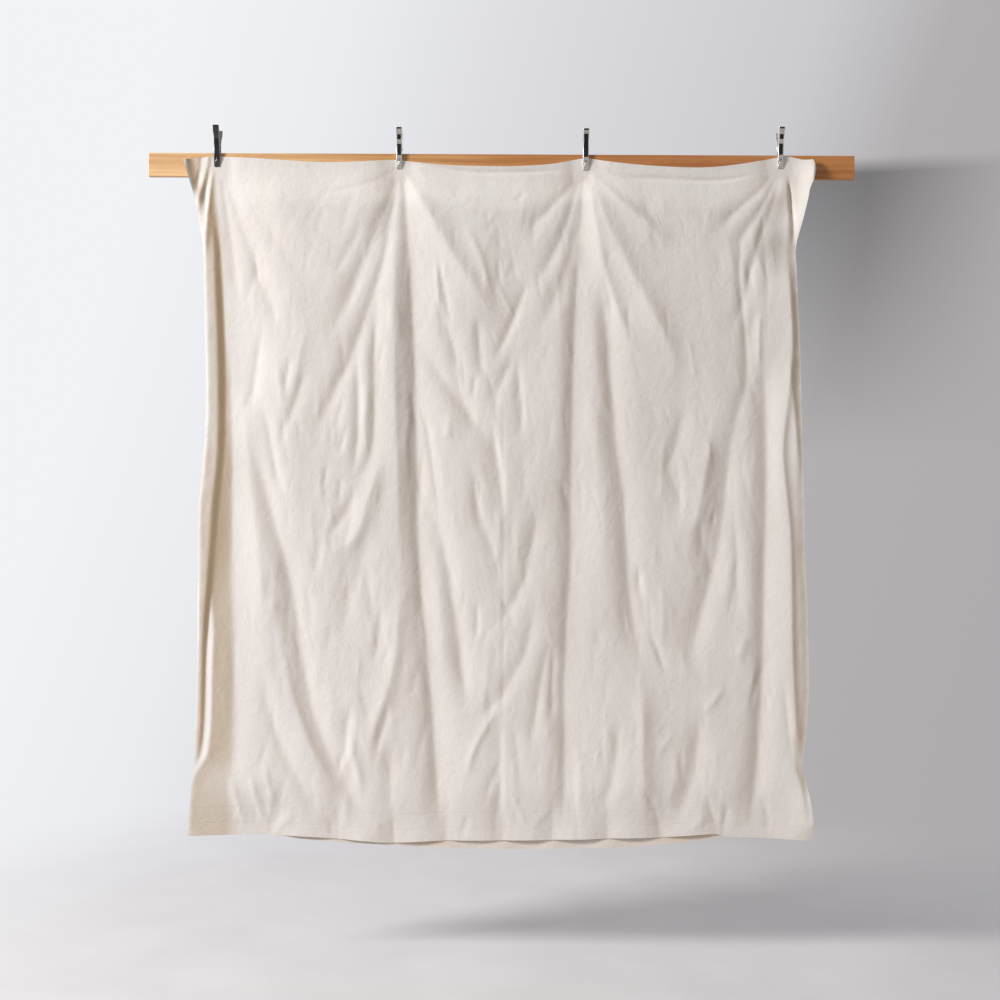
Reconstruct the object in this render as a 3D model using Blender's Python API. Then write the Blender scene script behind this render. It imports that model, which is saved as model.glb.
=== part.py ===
"""A duvet cover hanging from a wooden rail by four spring clamps.

Metres, +Z up, the cover's front facing -Y. The origin is the middle of the rail's back face.
"""

import math

import bmesh
import bpy
import numpy as np
from mathutils import Matrix

# The rail: a plain board on edge.
RAIL_LENGTH = 2.44
RAIL_HEIGHT = 0.082
RAIL_DEPTH = 0.019
RAIL_ROUND = 0.0015

# The cloth, and the room that pieces keep from each other.
CLOTH = 0.0012
GAP = 0.0003
SEAM_PITCH = CLOTH + GAP

# Where the two layers hang, as the height of the layer between them: nipped at a clamp, and hanging free.
NIPPED_Y = -(RAIL_DEPTH + GAP + CLOTH + GAP / 2)
FREE_Y = -0.02425
POCKET = 0.0085
FACE = 0.016
BACK_FACE = 0.004

# How far in from each edge the two layers take to part.
PART_SIDE = 0.13
PART_TOP = (0.04, 0.20)
PART_FOOT = 0.14
TOP_BULGE = 0.007
TOP_BULGE_DEPTH = 0.30

# Each clamp: its name, the middle of its width, and the height of its jaws' tips.
CLAMPS = (
    ("clamp1", -0.982, -0.0080),
    ("clamp2", -0.353, -0.0126),
    ("clamp3", 0.291, -0.0142),
    ("clamp4", 0.963, -0.0059),
)
NIP_HALF = 0.014
NIP_DEPTH = 0.042
NIP_FADE = (0.045, 0.085)

# The cover's outline. Down each side: height, x. Across the top and both feet: x, height.
LEFT_EDGE = (
    (0.023, -1.095),
    (-0.095, -1.062),
    (-0.220, -1.039),
    (-0.360, -1.023),
    (-0.830, -1.014),
    (-1.070, -1.027),
    (-1.210, -1.037),
    (-1.750, -1.038),
    (-2.070, -1.048),
    (-2.313, -1.068),
)
RIGHT_EDGE = (
    (0.024, 1.072),
    (-0.005, 1.081),
    (-0.110, 1.053),
    (-0.260, 1.019),
    (-0.580, 1.027),
    (-1.190, 1.051),
    (-1.500, 1.061),
    (-1.810, 1.064),
    (-2.058, 1.044),
    (-2.200, 1.074),
    (-2.324, 1.081),
)
TOP_EDGE = (
    (-1.095, 0.023),
    (-0.983, 0.028),
    (-0.630, 0.009),
    (-0.353, 0.019),
    (-0.150, 0.000),
    (0.045, -0.003),
    (0.291, 0.026),
    (0.700, -0.004),
    (0.963, 0.035),
    (1.072, 0.024),
)
FRONT_FOOT = (
    (-1.068, -2.313),
    (-0.783, -2.313),
    (-0.555, -2.325),
    (-0.361, -2.338),
    (0.012, -2.328),
    (0.375, -2.320),
    (0.740, -2.304),
    (0.776, -2.312),
    (1.081, -2.324),
)
BACK_FOOT = (
    (-1.068, -2.313),
    (-0.783, -2.313),
    (-0.686, -2.327),
    (-0.361, -2.348),
    (0.005, -2.359),
    (0.350, -2.353),
    (0.490, -2.348),
    (0.697, -2.326),
    (0.776, -2.312),
    (1.081, -2.324),
)

# The mouth at the foot runs between these, and the two hems are fastened together at seven points in it.
MOUTH = (-0.783, 0.776)
FASTENED = (-0.555, -0.361, -0.181, 0.012, 0.185, 0.375, 0.565)

# The columns and rows of points in each layer.
WIDEST_COLUMN = 0.042
SIDE_STRIP = (-0.996, 0.977)
ROWS = (0, 0.018, 0.034, 0.06, 0.10, 0.15, 0.21, 0.28, 0.35, 0.42, 0.49, 0.56, 0.63, 0.70, 0.77, 0.84, 0.90, 0.95, 1)

# A fold: what it is, how far it stands forward, half its width, and where it starts, passes and ends (x, height).
FOLD_END = 0.2
FRONT_FOLDS = (
    ("pull under clamp 2", -0.016, 0.034, (-0.353, 0.20), (-0.325, -0.605), (-0.315, -1.560)),
    ("pull under clamp 3", -0.016, 0.032, (0.291, 0.20), (0.240, -0.565), (0.205, -1.660)),
    ("ridge right of pull 3", 0.007, 0.034, (0.335, -0.045), (0.310, -0.775), (0.305, -1.570)),
    ("swag left of clamp 2, upper", -0.012, 0.036, (-0.370, -0.055), (-0.480, -0.320), (-0.605, -0.585)),
    ("swag left of clamp 2, lower", -0.010, 0.036, (-0.430, -0.380), (-0.515, -0.605), (-0.630, -0.865)),
    ("swag right of clamp 2, ridge", 0.008, 0.040, (-0.315, -0.085), (-0.220, -0.255), (-0.070, -0.500)),
    ("swag right of clamp 2, trough", -0.010, 0.036, (-0.280, -0.065), (-0.150, -0.265), (-0.020, -0.405)),
    ("swag left of clamp 3, upper", -0.012, 0.038, (0.260, -0.035), (0.175, -0.240), (0.065, -0.455)),
    ("swag left of clamp 3, lower", -0.008, 0.034, (0.230, -0.330), (0.175, -0.445), (0.090, -0.620)),
    ("swag right of clamp 3, upper", -0.012, 0.036, (0.320, -0.035), (0.415, -0.120), (0.550, -0.230)),
    ("swag right of clamp 3, lower", -0.012, 0.040, (0.340, -0.215), (0.430, -0.350), (0.560, -0.530)),
    ("swag left of clamp 4, upper", -0.010, 0.036, (0.935, -0.025), (0.825, -0.125), (0.680, -0.260)),
    ("swag left of clamp 4, lower", -0.010, 0.036, (0.920, -0.070), (0.830, -0.195), (0.745, -0.370)),
    ("long trough at the left", -0.014, 0.036, (-0.860, -0.850), (-0.775, -1.260), (-0.690, -1.600)),
    ("its foot", -0.014, 0.036, (-0.700, -1.500), (-0.625, -1.985), (-0.430, -2.380)),
    ("hooked ridge", 0.010, 0.038, (-0.400, -0.920), (-0.475, -1.175), (-0.640, -1.345)),
    ("ridge left of the middle", 0.009, 0.040, (-0.210, -0.680), (-0.105, -0.915), (-0.040, -1.200)),
    ("trough left of the middle", -0.011, 0.032, (-0.300, -0.760), (-0.220, -1.130), (-0.165, -1.580)),
    ("foot of pull 2", -0.012, 0.036, (-0.260, -1.400), (-0.255, -1.845), (-0.190, -2.400)),
    ("foot of pull 3", -0.012, 0.040, (0.200, -1.450), (0.190, -1.845), (0.200, -2.330)),
    ("trough in the right bay", -0.012, 0.036, (0.365, -0.700), (0.385, -1.085), (0.425, -1.580)),
    ("its foot", -0.012, 0.036, (0.420, -1.500), (0.510, -1.880), (0.515, -2.400)),
    ("broad trough at the right", -0.014, 0.046, (0.790, -0.780), (0.720, -1.150), (0.705, -1.560)),
    ("trough inside the right edge", -0.012, 0.034, (0.905, -0.700), (0.885, -1.360), (0.850, -2.300)),
    ("right edge of the face", 0.006, 0.036, (0.950, -0.180), (0.965, -1.080), (1.000, -2.080)),
    ("left edge of the face", 0.006, 0.036, (-0.945, -0.120), (-0.900, -1.090), (-0.875, -2.100)),
)
SIDE_FOLDS = (
    ("left corner, forward", 0.022, 0.036, (-1.100, 0.220), (-1.066, -0.095), (-1.020, -0.420)),
    ("left side, turned back", -0.018, 0.030, (-0.990, -0.120), (-0.975, -0.940), (-1.000, -2.300)),
    ("left seam edge", 0.008, 0.022, (-1.020, -0.500), (-1.035, -1.300), (-1.050, -2.200)),
    ("right corner, forward", 0.022, 0.036, (1.085, 0.220), (1.055, -0.130), (1.010, -0.420)),
    ("right side, turned back", -0.016, 0.026, (1.005, -0.120), (1.010, -0.975), (1.035, -2.200)),
)

# A clamp's arm, by height above its tip: half width, then how far out from the jaw's face its back wall
# and the edges of its side walls lie. The ears reach in over the rail to the pin.
CLAMP_SHEET = 0.0015
PIN_HEIGHT = 0.070
PIN_RADIUS = 0.0025
PIN_HEAD = 0.0045
EAR_REACH = -0.0163
ARM = (
    (0.000, 0.0100, 0.0006, 0.0000),
    (0.014, 0.0105, 0.0025, 0.0000),
    (0.030, 0.0105, 0.0055, 0.0010),
    (0.045, 0.0095, 0.0080, 0.0025),
    (0.060, 0.0095, 0.0080, 0.0025),
    (0.063, 0.0095, 0.0082, EAR_REACH),
    (0.077, 0.0095, 0.0095, EAR_REACH),
    (0.082, 0.0100, 0.0105, 0.0045),
    (0.101, 0.0085, 0.0170, 0.0110),
    (0.120, 0.0105, 0.0240, 0.0180),
    (0.140, 0.0105, 0.0300, 0.0240),
    (0.147, 0.0098, 0.0310, 0.0250),
)
EAR_HALF_WIDTH = 0.0095
NESTED = CLAMP_SHEET + GAP
FRONT_JAW_Y = -(RAIL_DEPTH + 2 * SEAM_PITCH + GAP)
BACK_JAW_Y = GAP
PIN_Y = (FRONT_JAW_Y + BACK_JAW_Y) / 2
ROUND_SIDES = 16

# A clamp's spring: wire wound round the pin, with a leg up inside each arm.
WIRE = 0.0009
COIL_RADIUS = 0.0042
COIL_PITCH = 0.0022
COIL_TURNS = 3.5
COIL_POINTS = 8
LEG_TOP = 0.098


def material(name, colour, roughness, metallic=0.0):
    made = bpy.data.materials.new(name)
    made.use_nodes = True
    shader = made.node_tree.nodes["Principled BSDF"]
    shader.inputs["Base Color"].default_value = (*colour, 1)
    shader.inputs["Roughness"].default_value = roughness
    shader.inputs["Metallic"].default_value = metallic
    return made


def add_object(name, shape, finish):
    """An object of this bmesh, with its normals turned outwards."""
    bmesh.ops.recalc_face_normals(shape, faces=shape.faces)
    mesh = bpy.data.meshes.new(name)
    shape.to_mesh(mesh)
    shape.free()
    mesh.materials.append(finish)
    made = bpy.data.objects.new(name, mesh)
    bpy.context.scene.collection.objects.link(made)
    return made


def smooth(share):
    """0 below 0 and 1 above 1, with a soft run between."""
    share = np.clip(share, 0, 1)
    return share * share * (3 - 2 * share)


def along(table, at):
    """The table's second column at these values of its first."""
    places, values = zip(*sorted(table))
    return np.interp(at, places, values)


def fold(x, z, height, half_width, path):
    """How far a ridge or trough along a path lifts the cloth. It fades out at both its ends."""
    nearest = np.full(x.shape, np.inf)
    share = np.zeros(x.shape)
    lengths = [math.dist(start, end) for start, end in zip(path, path[1:])]
    passed = 0
    for (start_x, start_z), (end_x, end_z), length in zip(path, path[1:], lengths):
        run_x = end_x - start_x
        run_z = end_z - start_z
        part = np.clip(((x - start_x) * run_x + (z - start_z) * run_z) / length**2, 0, 1)
        away = np.hypot(x - start_x - part * run_x, z - start_z - part * run_z)
        share = np.where(away < nearest, (passed + part * length) / sum(lengths), share)
        nearest = np.minimum(nearest, away)
        passed += length
    ends = smooth(share / FOLD_END) * smooth((1 - share) / FOLD_END)
    return height * ends * np.exp(-((nearest / half_width) ** 2))


def folds(x, z, table):
    return sum(fold(x, z, height, half_width, path) for _, height, half_width, *path in table)


def cloth_columns():
    """Where the columns of points stand: at the clamps, the fastened points and the edges, and evenly between."""
    nips = [x + side * NIP_HALF for _, x, _ in CLAMPS for side in (-1, 1)]
    marks = [mark for mark in (*MOUTH, *FASTENED) if min(abs(mark - nip) for nip in nips) > NIP_HALF]
    marks = sorted([LEFT_EDGE[0][1], RIGHT_EDGE[0][1], *nips, *marks])
    columns = [marks[0]]
    for start, end in zip(marks, marks[1:]):
        steps = math.ceil((end - start) / WIDEST_COLUMN)
        columns += [start + (end - start) * step / steps for step in range(1, steps + 1)]
    return np.array(columns)


def cloth_outline(foot):
    """x and z of each point of a layer with this foot, row by row. The outer strips follow the side edges."""
    column = cloth_columns()[None, :]
    row = np.array(ROWS)[:, None]
    height = TOP_EDGE[0][1] + (FRONT_FOOT[0][1] - TOP_EDGE[0][1]) * row
    left, right = SIDE_STRIP
    left_share = np.clip((left - column) / (left - column.min()), 0, 1)
    right_share = np.clip((column - right) / (column.max() - right), 0, 1)
    left_edge = left + (along(LEFT_EDGE, height) - left) * left_share
    right_edge = right + (along(RIGHT_EDGE, height) - right) * right_share
    x = np.where(column < left, left_edge, np.where(column > right, right_edge, column + 0 * height))
    top = along(TOP_EDGE, x)
    z = top + (along(foot, x) - top) * row
    return x, z


def nipped(x, z):
    """1 where a clamp holds the cloth flat, 0 a little way off."""
    held = np.zeros(x.shape)
    depth = along(TOP_EDGE, x) - z
    down = 1 - smooth((depth - NIP_DEPTH) / (NIP_FADE[1] - NIP_DEPTH))
    for _, middle, _ in CLAMPS:
        across = 1 - smooth((np.abs(x - middle) - NIP_HALF) / (NIP_FADE[0] - NIP_HALF))
        held = np.maximum(held, across * down)
    return held


def parted(x, z, foot):
    """0 where the two layers are sewn or fastened together, 1 where they hang apart."""
    side = np.minimum(x - along(LEFT_EDGE, z), along(RIGHT_EDGE, z) - x) / PART_SIDE
    top = (along(TOP_EDGE, x) - z - PART_TOP[0]) / (PART_TOP[1] - PART_TOP[0])
    joined = (LEFT_EDGE[-1][1], MOUTH[0], *FASTENED, MOUTH[1], RIGHT_EDGE[-1][1])
    hem = np.zeros(x.shape)
    for start, end in zip(joined[1:-2], joined[2:-1]):
        hem = np.maximum(hem, np.sin(math.pi * np.clip((x - start) / (end - start), 0, 1)))
    up = smooth((z - along(foot, x)) / PART_FOOT)
    return smooth(side) * smooth(top) * (hem + (1 - hem) * up) * (1 - nipped(x, z))


def top_bulge(x, z):
    """How far forward the top hangs between clamps."""
    stops = (LEFT_EDGE[0][1], *(middle for _, middle, _ in CLAMPS), RIGHT_EDGE[0][1])
    swell = np.zeros(x.shape)
    for start, end in zip(stops[1:-2], stops[2:-1]):
        swell = np.maximum(swell, np.sin(math.pi * np.clip((x - start) / (end - start), 0, 1)))
    return TOP_BULGE * swell * (1 - smooth((along(TOP_EDGE, x) - z) / TOP_BULGE_DEPTH))


def steepness(x, z, y):
    """How much thicker along Y a layer gets from its slope, by the steepest cell round each point."""
    across = np.abs(np.diff(y, axis=1) / np.diff(x, axis=1))
    down = np.abs(np.diff(y, axis=0) / np.diff(z, axis=0))
    across = np.maximum(np.pad(across, ((0, 0), (1, 0))), np.pad(across, ((0, 0), (0, 1))))
    down = np.maximum(np.pad(down, ((1, 0), (0, 0))), np.pad(down, ((0, 1), (0, 0))))
    return np.sqrt(1 + across**2 + down**2)


def cloth_layer(name, foot, side, finish):
    """One layer of the cover. side is -1 for the front and 1 for the back."""
    x, z = cloth_outline(foot)
    apart = parted(x, z, foot)
    front = folds(x, z, FRONT_FOLDS)
    shift = folds(x, z, SIDE_FOLDS) + top_bulge(x, z)
    seam_y = FREE_Y - shift + (NIPPED_Y - FREE_Y + shift) * nipped(x, z)
    pitch = SEAM_PITCH * steepness(x, z, seam_y)
    stand = np.maximum(FACE + front, 0) if side < 0 else np.maximum(BACK_FACE - front / 2, 0)
    y = seam_y + side * (pitch / 2 + apart * ((POCKET + CLOTH - SEAM_PITCH) / 2 + stand))

    shape = bmesh.new()
    rows, columns = x.shape
    bmesh.ops.create_grid(shape, x_segments=columns - 1, y_segments=rows - 1, size=0.5)
    for vert in shape.verts:
        column = round((vert.co.x + 0.5) * (columns - 1))
        row = round((vert.co.y + 0.5) * (rows - 1))
        vert.co = (x[row, column], y[row, column], z[row, column])
    made = add_object(name, shape, finish)

    split = made.modifiers.new("Facets", "TRIANGULATE")
    split.quad_method = "FIXED"
    thick = made.modifiers.new("Cloth", "SOLIDIFY")
    thick.thickness = CLOTH
    thick.offset = 0
    thick.use_even_offset = True
    return made


def rail(finish):
    shape = bmesh.new()
    bmesh.ops.create_cube(shape, size=1)
    bmesh.ops.scale(shape, vec=(RAIL_LENGTH, RAIL_DEPTH, RAIL_HEIGHT), verts=shape.verts)
    bmesh.ops.bevel(shape, geom=shape.edges[:], offset=RAIL_ROUND, segments=2, profile=0.5, affect="EDGES")
    made = add_object("rail", shape, finish)
    made.location = (0, -RAIL_DEPTH / 2, 0)
    return made


def clamp_arm(name, x, tip, jaw_y, side, narrower, finish):
    """One arm, of bent sheet with side walls. side is -1 for the front arm and 1 for the back one."""
    shape = bmesh.new()
    loops = []
    for height, half, wall, edge in ARM:
        half -= narrower
        inner = half - CLAMP_SHEET
        outer = wall + CLAMP_SHEET
        section = ((-half, edge), (-half, outer), (half, outer), (half, edge))
        section += ((inner, edge), (inner, wall), (-inner, wall), (-inner, edge))
        points = [shape.verts.new((x + across, jaw_y + side * out, tip + height)) for across, out in section]
        loops.append([shape.edges.new(pair) for pair in zip(points, points[1:] + points[:1])])
        if height in (ARM[0][0], ARM[-1][0]):
            shape.faces.new(points)
    for lower, upper in zip(loops, loops[1:]):
        bmesh.ops.bridge_loops(shape, edges=lower + upper)
    made = add_object(name, shape, finish)

    drill = bmesh.new()
    turned = Matrix.Rotation(math.pi / 2, 4, "Y")
    hole = PIN_RADIUS + GAP
    length = 6 * EAR_HALF_WIDTH
    bmesh.ops.create_cone(
        drill, cap_ends=True, segments=ROUND_SIDES, radius1=hole, radius2=hole, depth=length, matrix=turned
    )
    cutter = add_object(f"{name}_drill", drill, finish)
    cutter.location = (x, PIN_Y, tip + PIN_HEIGHT)
    cutter.hide_render = True
    cutter.display_type = "WIRE"
    cut = made.modifiers.new("Pin hole", "BOOLEAN")
    cut.operation = "DIFFERENCE"
    cut.object = cutter
    return made


def clamp_pin(name, x, tip, finish):
    """The pin, turned about X, with a domed head past each ear."""
    inside = EAR_HALF_WIDTH + GAP
    outside = inside + CLAMP_SHEET
    half = ((inside, PIN_RADIUS), (inside, PIN_HEAD), (outside, PIN_HEAD * 0.8), (outside, 0))
    profile = [(-place, radius) for place, radius in reversed(half)] + list(half)
    shape = bmesh.new()
    points = [shape.verts.new((place, 0, radius)) for place, radius in profile]
    edges = [shape.edges.new(pair) for pair in zip(points, points[1:])]
    full = 2 * math.pi
    bmesh.ops.spin(shape, geom=points + edges, axis=(1, 0, 0), cent=(0, 0, 0), angle=full, steps=ROUND_SIDES)
    bmesh.ops.remove_doubles(shape, verts=shape.verts, dist=1e-5)
    made = add_object(name, shape, finish)
    made.location = (x, PIN_Y, tip + PIN_HEIGHT)
    return made


def clamp_spring(name, x, tip, finish):
    """Wire wound round the pin, from inside the front arm's wall to inside the back arm's."""
    wall = along([(height, wall) for height, _, wall, _ in ARM], LEG_TOP)
    reach = (BACK_JAW_Y - FRONT_JAW_Y) / 2 + wall - WIRE - GAP
    half_length = COIL_PITCH * COIL_TURNS / 2
    steps = round(COIL_POINTS * COIL_TURNS)
    path = [(-half_length, -reach, LEG_TOP - PIN_HEIGHT)]
    for step in range(steps + 1):
        angle = math.pi + 2 * math.pi * step / COIL_POINTS
        place = COIL_PITCH * COIL_TURNS * (step / steps) - half_length
        path.append((place, COIL_RADIUS * math.cos(angle), COIL_RADIUS * math.sin(angle)))
    path.append((half_length, reach, LEG_TOP - PIN_HEIGHT))

    wire = bpy.data.curves.new(name, "CURVE")
    wire.dimensions = "3D"
    wire.bevel_depth = WIRE
    wire.bevel_resolution = 1
    wire.use_fill_caps = True
    spline = wire.splines.new("POLY")
    spline.points.add(len(path) - 1)
    for point, place in zip(spline.points, path):
        point.co = (*place, 1)
    wire.materials.append(finish)
    made = bpy.data.objects.new(name, wire)
    made.location = (x, PIN_Y, tip + PIN_HEIGHT)
    bpy.context.scene.collection.objects.link(made)
    return made


def build():
    for old in list(bpy.data.objects):
        bpy.data.objects.remove(old)
    cotton = material("cotton", (0.80, 0.75, 0.69), 0.9)
    wood = material("wood", (0.68, 0.40, 0.20), 0.45)
    chrome = material("chrome", (0.72, 0.70, 0.68), 0.12, 1.0)
    steel = material("spring steel", (0.25, 0.24, 0.23), 0.35, 1.0)

    cloth_layer("front_panel", FRONT_FOOT, -1, cotton)
    cloth_layer("back_panel", BACK_FOOT, 1, cotton)
    rail(wood)
    for name, x, tip in CLAMPS:
        clamp_arm(f"{name}_front_arm", x, tip, FRONT_JAW_Y, -1, 0, chrome)
        clamp_arm(f"{name}_back_arm", x, tip, BACK_JAW_Y, 1, NESTED, chrome)
        clamp_pin(f"{name}_pin", x, tip, chrome)
        clamp_spring(f"{name}_spring", x, tip, steel)


build()
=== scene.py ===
"""The looks of a washed cotton duvet cover that hangs by its top edge from a pine rail in four spring clamps.

Metres, +Z up, the cover's front facing -Y. The origin is the middle of the rail's back face.
"""

import math

import bmesh
import bpy
import numpy as np
from mathutils import Matrix, Vector


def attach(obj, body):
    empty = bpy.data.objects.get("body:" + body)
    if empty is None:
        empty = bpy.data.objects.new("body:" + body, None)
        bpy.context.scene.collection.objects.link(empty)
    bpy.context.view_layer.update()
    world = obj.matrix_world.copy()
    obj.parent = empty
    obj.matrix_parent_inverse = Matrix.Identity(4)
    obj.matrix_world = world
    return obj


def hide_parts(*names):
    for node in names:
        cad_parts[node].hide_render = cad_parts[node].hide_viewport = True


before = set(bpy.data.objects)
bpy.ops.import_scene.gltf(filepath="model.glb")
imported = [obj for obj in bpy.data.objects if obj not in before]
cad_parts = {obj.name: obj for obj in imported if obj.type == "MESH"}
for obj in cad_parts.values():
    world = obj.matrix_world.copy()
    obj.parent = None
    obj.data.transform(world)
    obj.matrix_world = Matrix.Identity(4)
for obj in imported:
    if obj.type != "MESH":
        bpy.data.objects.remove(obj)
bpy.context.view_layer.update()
bpy.ops.object.select_all(action="DESELECT")


# ---------------------------------------------------------------------------------------------- the rail
# A planed pine board on edge, oiled to a honey colour. It runs past both sides of the cover, and its
# arrises are just broken. It stays as it was built, and takes its grain here, with painted light that
# fades from the left end to the right.


def new_finish(name, colour, roughness, metallic=0.0):
    """A material, its node tree and its shader."""
    made = bpy.data.materials.new(name)
    made.use_nodes = True
    shader = made.node_tree.nodes["Principled BSDF"]
    shader.inputs["Base Color"].default_value = (*colour, 1)
    shader.inputs["Roughness"].default_value = roughness
    shader.inputs["Metallic"].default_value = metallic
    return made, made.node_tree, shader


def node(tree, kind, feeds=(), **settings):
    """A node of this kind. feeds gives each input a number, a colour or another node's output."""
    made = tree.nodes.new(f"ShaderNode{kind}")
    for setting, value in settings.items():
        setattr(made, setting, value)
    for place, value in dict(feeds).items():
        if isinstance(value, bpy.types.NodeSocket):
            tree.links.new(value, made.inputs[place])
        else:
            made.inputs[place].default_value = value
    return made


def ramp(tree, share, *stops):
    """Colours blended by a share from 0 to 1. Each stop is a place and a colour."""
    made = node(tree, "ValToRGB", {0: share})
    colours = made.color_ramp.elements
    while len(colours) < len(stops):
        colours.new(0.5)
    for element, (place, colour) in zip(colours, stops):
        element.position = place
        element.color = (*colour, 1)
    return made.outputs["Color"]


def scaled(tree, place, scale):
    """The place, stretched by a scale along each axis."""
    return node(tree, "Mapping", {"Vector": place, "Scale": scale}).outputs["Vector"]


def noise(tree, place, scale, detail, **more):
    """A soft random share from 0 to 1 at each place."""
    return node(tree, "TexNoise", {"Vector": place, "Scale": scale, "Detail": detail, **more}).outputs["Fac"]


def ranged(tree, value, low, high, start=0.0, end=1.0, **settings):
    """A number that goes from start to end while the value goes from low to high."""
    feeds = {"Value": value, "From Min": low, "From Max": high, "To Min": start, "To Max": end}
    return node(tree, "MapRange", feeds, **settings).outputs["Result"]


def figure(tree, work, first, second):
    """The sum, product or other result of two numbers."""
    return node(tree, "Math", {0: first, 1: second}, operation=work).outputs["Value"]


def blend(tree, share, first, second, way="MIX"):
    """The first colour mixed with the second, or multiplied by it, to this share."""
    feeds = {"Fac": share, "Color1": first, "Color2": second}
    return node(tree, "MixRGB", feeds, blend_type=way).outputs["Color"]


def relief(tree, height, strength, distance, under=None):
    """A bumped normal. under is the normal that it lies on."""
    feeds = {"Strength": strength, "Distance": distance, "Height": height}
    if under is not None:
        feeds["Normal"] = under
    return node(tree, "Bump", feeds).outputs["Normal"]


RAIL_HALF = 1.22


def pine_finish():
    """Soft growth bands along X, fine dark pores, and a satin oiled face. Its colour is painted lighter at the
    left and darker towards the right, as painted light and shade from the key lamp at the left.
    """
    made, tree, shader = new_finish("pine", (0.58, 0.28, 0.10), 0.42)
    place = node(tree, "TexCoord").outputs["Object"]
    bands = noise(tree, scaled(tree, place, (0.55, 14, 16)), 1.6, 3, Distortion=0.7)
    rings = noise(tree, scaled(tree, place, (0.9, 60, 62)), 2.2, 4, Distortion=0.3)
    pores = noise(tree, scaled(tree, place, (14, 900, 900)), 1.0, 2)
    # Painted light and shade: the base colour runs from light at the left end to dark at the right.
    length = ranged(tree, node(tree, "SeparateXYZ", {"Vector": place}).outputs["X"], -RAIL_HALF, RAIL_HALF)
    pale = ramp(
        tree, length, (0.12, (0.93, 0.62, 0.34)), (0.33, (0.80, 0.47, 0.20)), (0.52, (0.66, 0.31, 0.11)),
        (0.74, (0.54, 0.22, 0.075)), (1.0, (0.56, 0.24, 0.08)),
    )
    deep = blend(tree, 1.0, pale, (0.66, 0.56, 0.46, 1), "MULTIPLY")
    broad = blend(tree, ranged(tree, bands, 0.30, 0.58), deep, pale)
    fine = ramp(tree, rings, (0.35, (0.80, 0.74, 0.68)), (0.60, (1, 1, 1)))
    ringed = blend(tree, 0.75, broad, fine, "MULTIPLY")
    specks = ramp(tree, pores, (0.34, (0.78, 0.70, 0.62)), (0.46, (1, 1, 1)))
    tree.links.new(blend(tree, 0.6, ringed, specks, "MULTIPLY"), shader.inputs["Base Color"])
    tree.links.new(ranged(tree, rings, 0, 1, 0.50, 0.36), shader.inputs["Roughness"])
    grain = relief(tree, rings, 0.35, 0.0006)
    tree.links.new(relief(tree, pores, 0.3, 0.0003, grain), shader.inputs["Normal"])
    return made


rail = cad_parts["rail"]
rail.data.materials.clear()
rail.data.materials.append(pine_finish())


# -------------------------------------------------------------------------------------------- the clamps
# Pressed steel spring clamps, bright plated. Each has two bent arms that turn on a riveted pin, and a
# wire spring wound round that pin. Their jaws nip the top edge of the cover against the rail.

# The rail's face, one layer of cloth, the gap kept between pieces, and the steel's thickness. Then where the
# jaws' inner faces lie, the pin, the ears that it goes through, and the radius of the channel's bends.
RAIL_FRONT = -0.019
CLOTH = 0.0012
GAP = 0.0003
SHEET = 0.0015
FRONT_JAW = RAIL_FRONT - 2 * CLOTH - 3 * GAP
BACK_JAW = GAP
PIN_Y = (FRONT_JAW + BACK_JAW) / 2
PIN_HEIGHT = 0.070
PIN_RADIUS = 0.0025
EAR_HALF = 0.0095
EAR_REACH = -0.0163
CORNER = 0.0017

# Each clamp: its number, the middle of its width, the height of its jaws' tips, and how dark its plating is,
# where the darker plating is a painted dark reflection.
CLAMPS = (
    (1, -0.982, -0.0080, "plate painted dark"),
    (2, -0.353, -0.0126, "bright plate"),
    (3, 0.291, -0.0142, "barred plate"),
    (4, 0.963, -0.0059, "bright plate"),
)

# An arm by height above its tip: half width, how far out its wall lies, and where its side walls end. Its
# strip starts as the row STRIP_ROW and is drawn out from there both ways.
ARM = (
    (0.000, 0.0100, 0.0006, 0.0000),
    (0.004, 0.0103, 0.0010, 0.0000),
    (0.014, 0.0105, 0.0025, 0.0000),
    (0.024, 0.0105, 0.0045, 0.0003),
    (0.034, 0.0103, 0.0064, 0.0013),
    (0.045, 0.0096, 0.0078, 0.0025),
    (0.055, 0.0095, 0.0081, 0.0027),
    (0.061, 0.0095, 0.0082, 0.0010),
    (0.0635, 0.0095, 0.0083, -0.0105),
    (0.0665, 0.0095, 0.0085, -0.0148),
    (0.070, 0.0095, 0.0088, EAR_REACH),
    (0.0735, 0.0095, 0.0092, -0.0148),
    (0.0765, 0.0095, 0.0096, -0.0105),
    (0.079, 0.0096, 0.0101, 0.0020),
    (0.0843, 0.0096, 0.0117, 0.0060),
    (0.0913, 0.0088, 0.0142, 0.0085),
    (0.0984, 0.0085, 0.0172, 0.0112),
    (0.1063, 0.0095, 0.0206, 0.0146),
    (0.1151, 0.0105, 0.0240, 0.0180),
    (0.1239, 0.0106, 0.0272, 0.0212),
    (0.1327, 0.0105, 0.0300, 0.0242),
    (0.1375, 0.0098, 0.0311, 0.0262),
)
STRIP_ROW = 6

# The V pressed into each jaw and the rivet above it, on an arm at the origin: x, depth and height.
JAW_SLOPE, RIB_LEAN = 0.19, 0.30
RIB_AT = (0.0042, 0.0032, 0.016)
RIVET_AT = (0, 0.0056, 0.030)


def plate_finish(name, colour, roughness, metallic=1.0):
    """Plated steel: a mirror with faint rub marks along the arm and a slightly uneven coat."""
    made, tree, shader = new_finish(name, colour, roughness, metallic)
    place = node(tree, "TexCoord").outputs["Object"]
    rubs = noise(tree, scaled(tree, place, (900, 900, 60)), 1.0, 2)
    coat = noise(tree, place, 70, 2)
    gloss = ranged(tree, figure(tree, "MULTIPLY", rubs, coat), 0.12, 0.42, roughness * 0.6, roughness * 1.9)
    tree.links.new(gloss, shader.inputs["Roughness"])
    tree.links.new(relief(tree, coat, 0.12, 0.0004), shader.inputs["Normal"])
    return made


# The darker plating is the same plated steel painted dark, a painted reflection for the clamp that reflects
# darkly.
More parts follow.
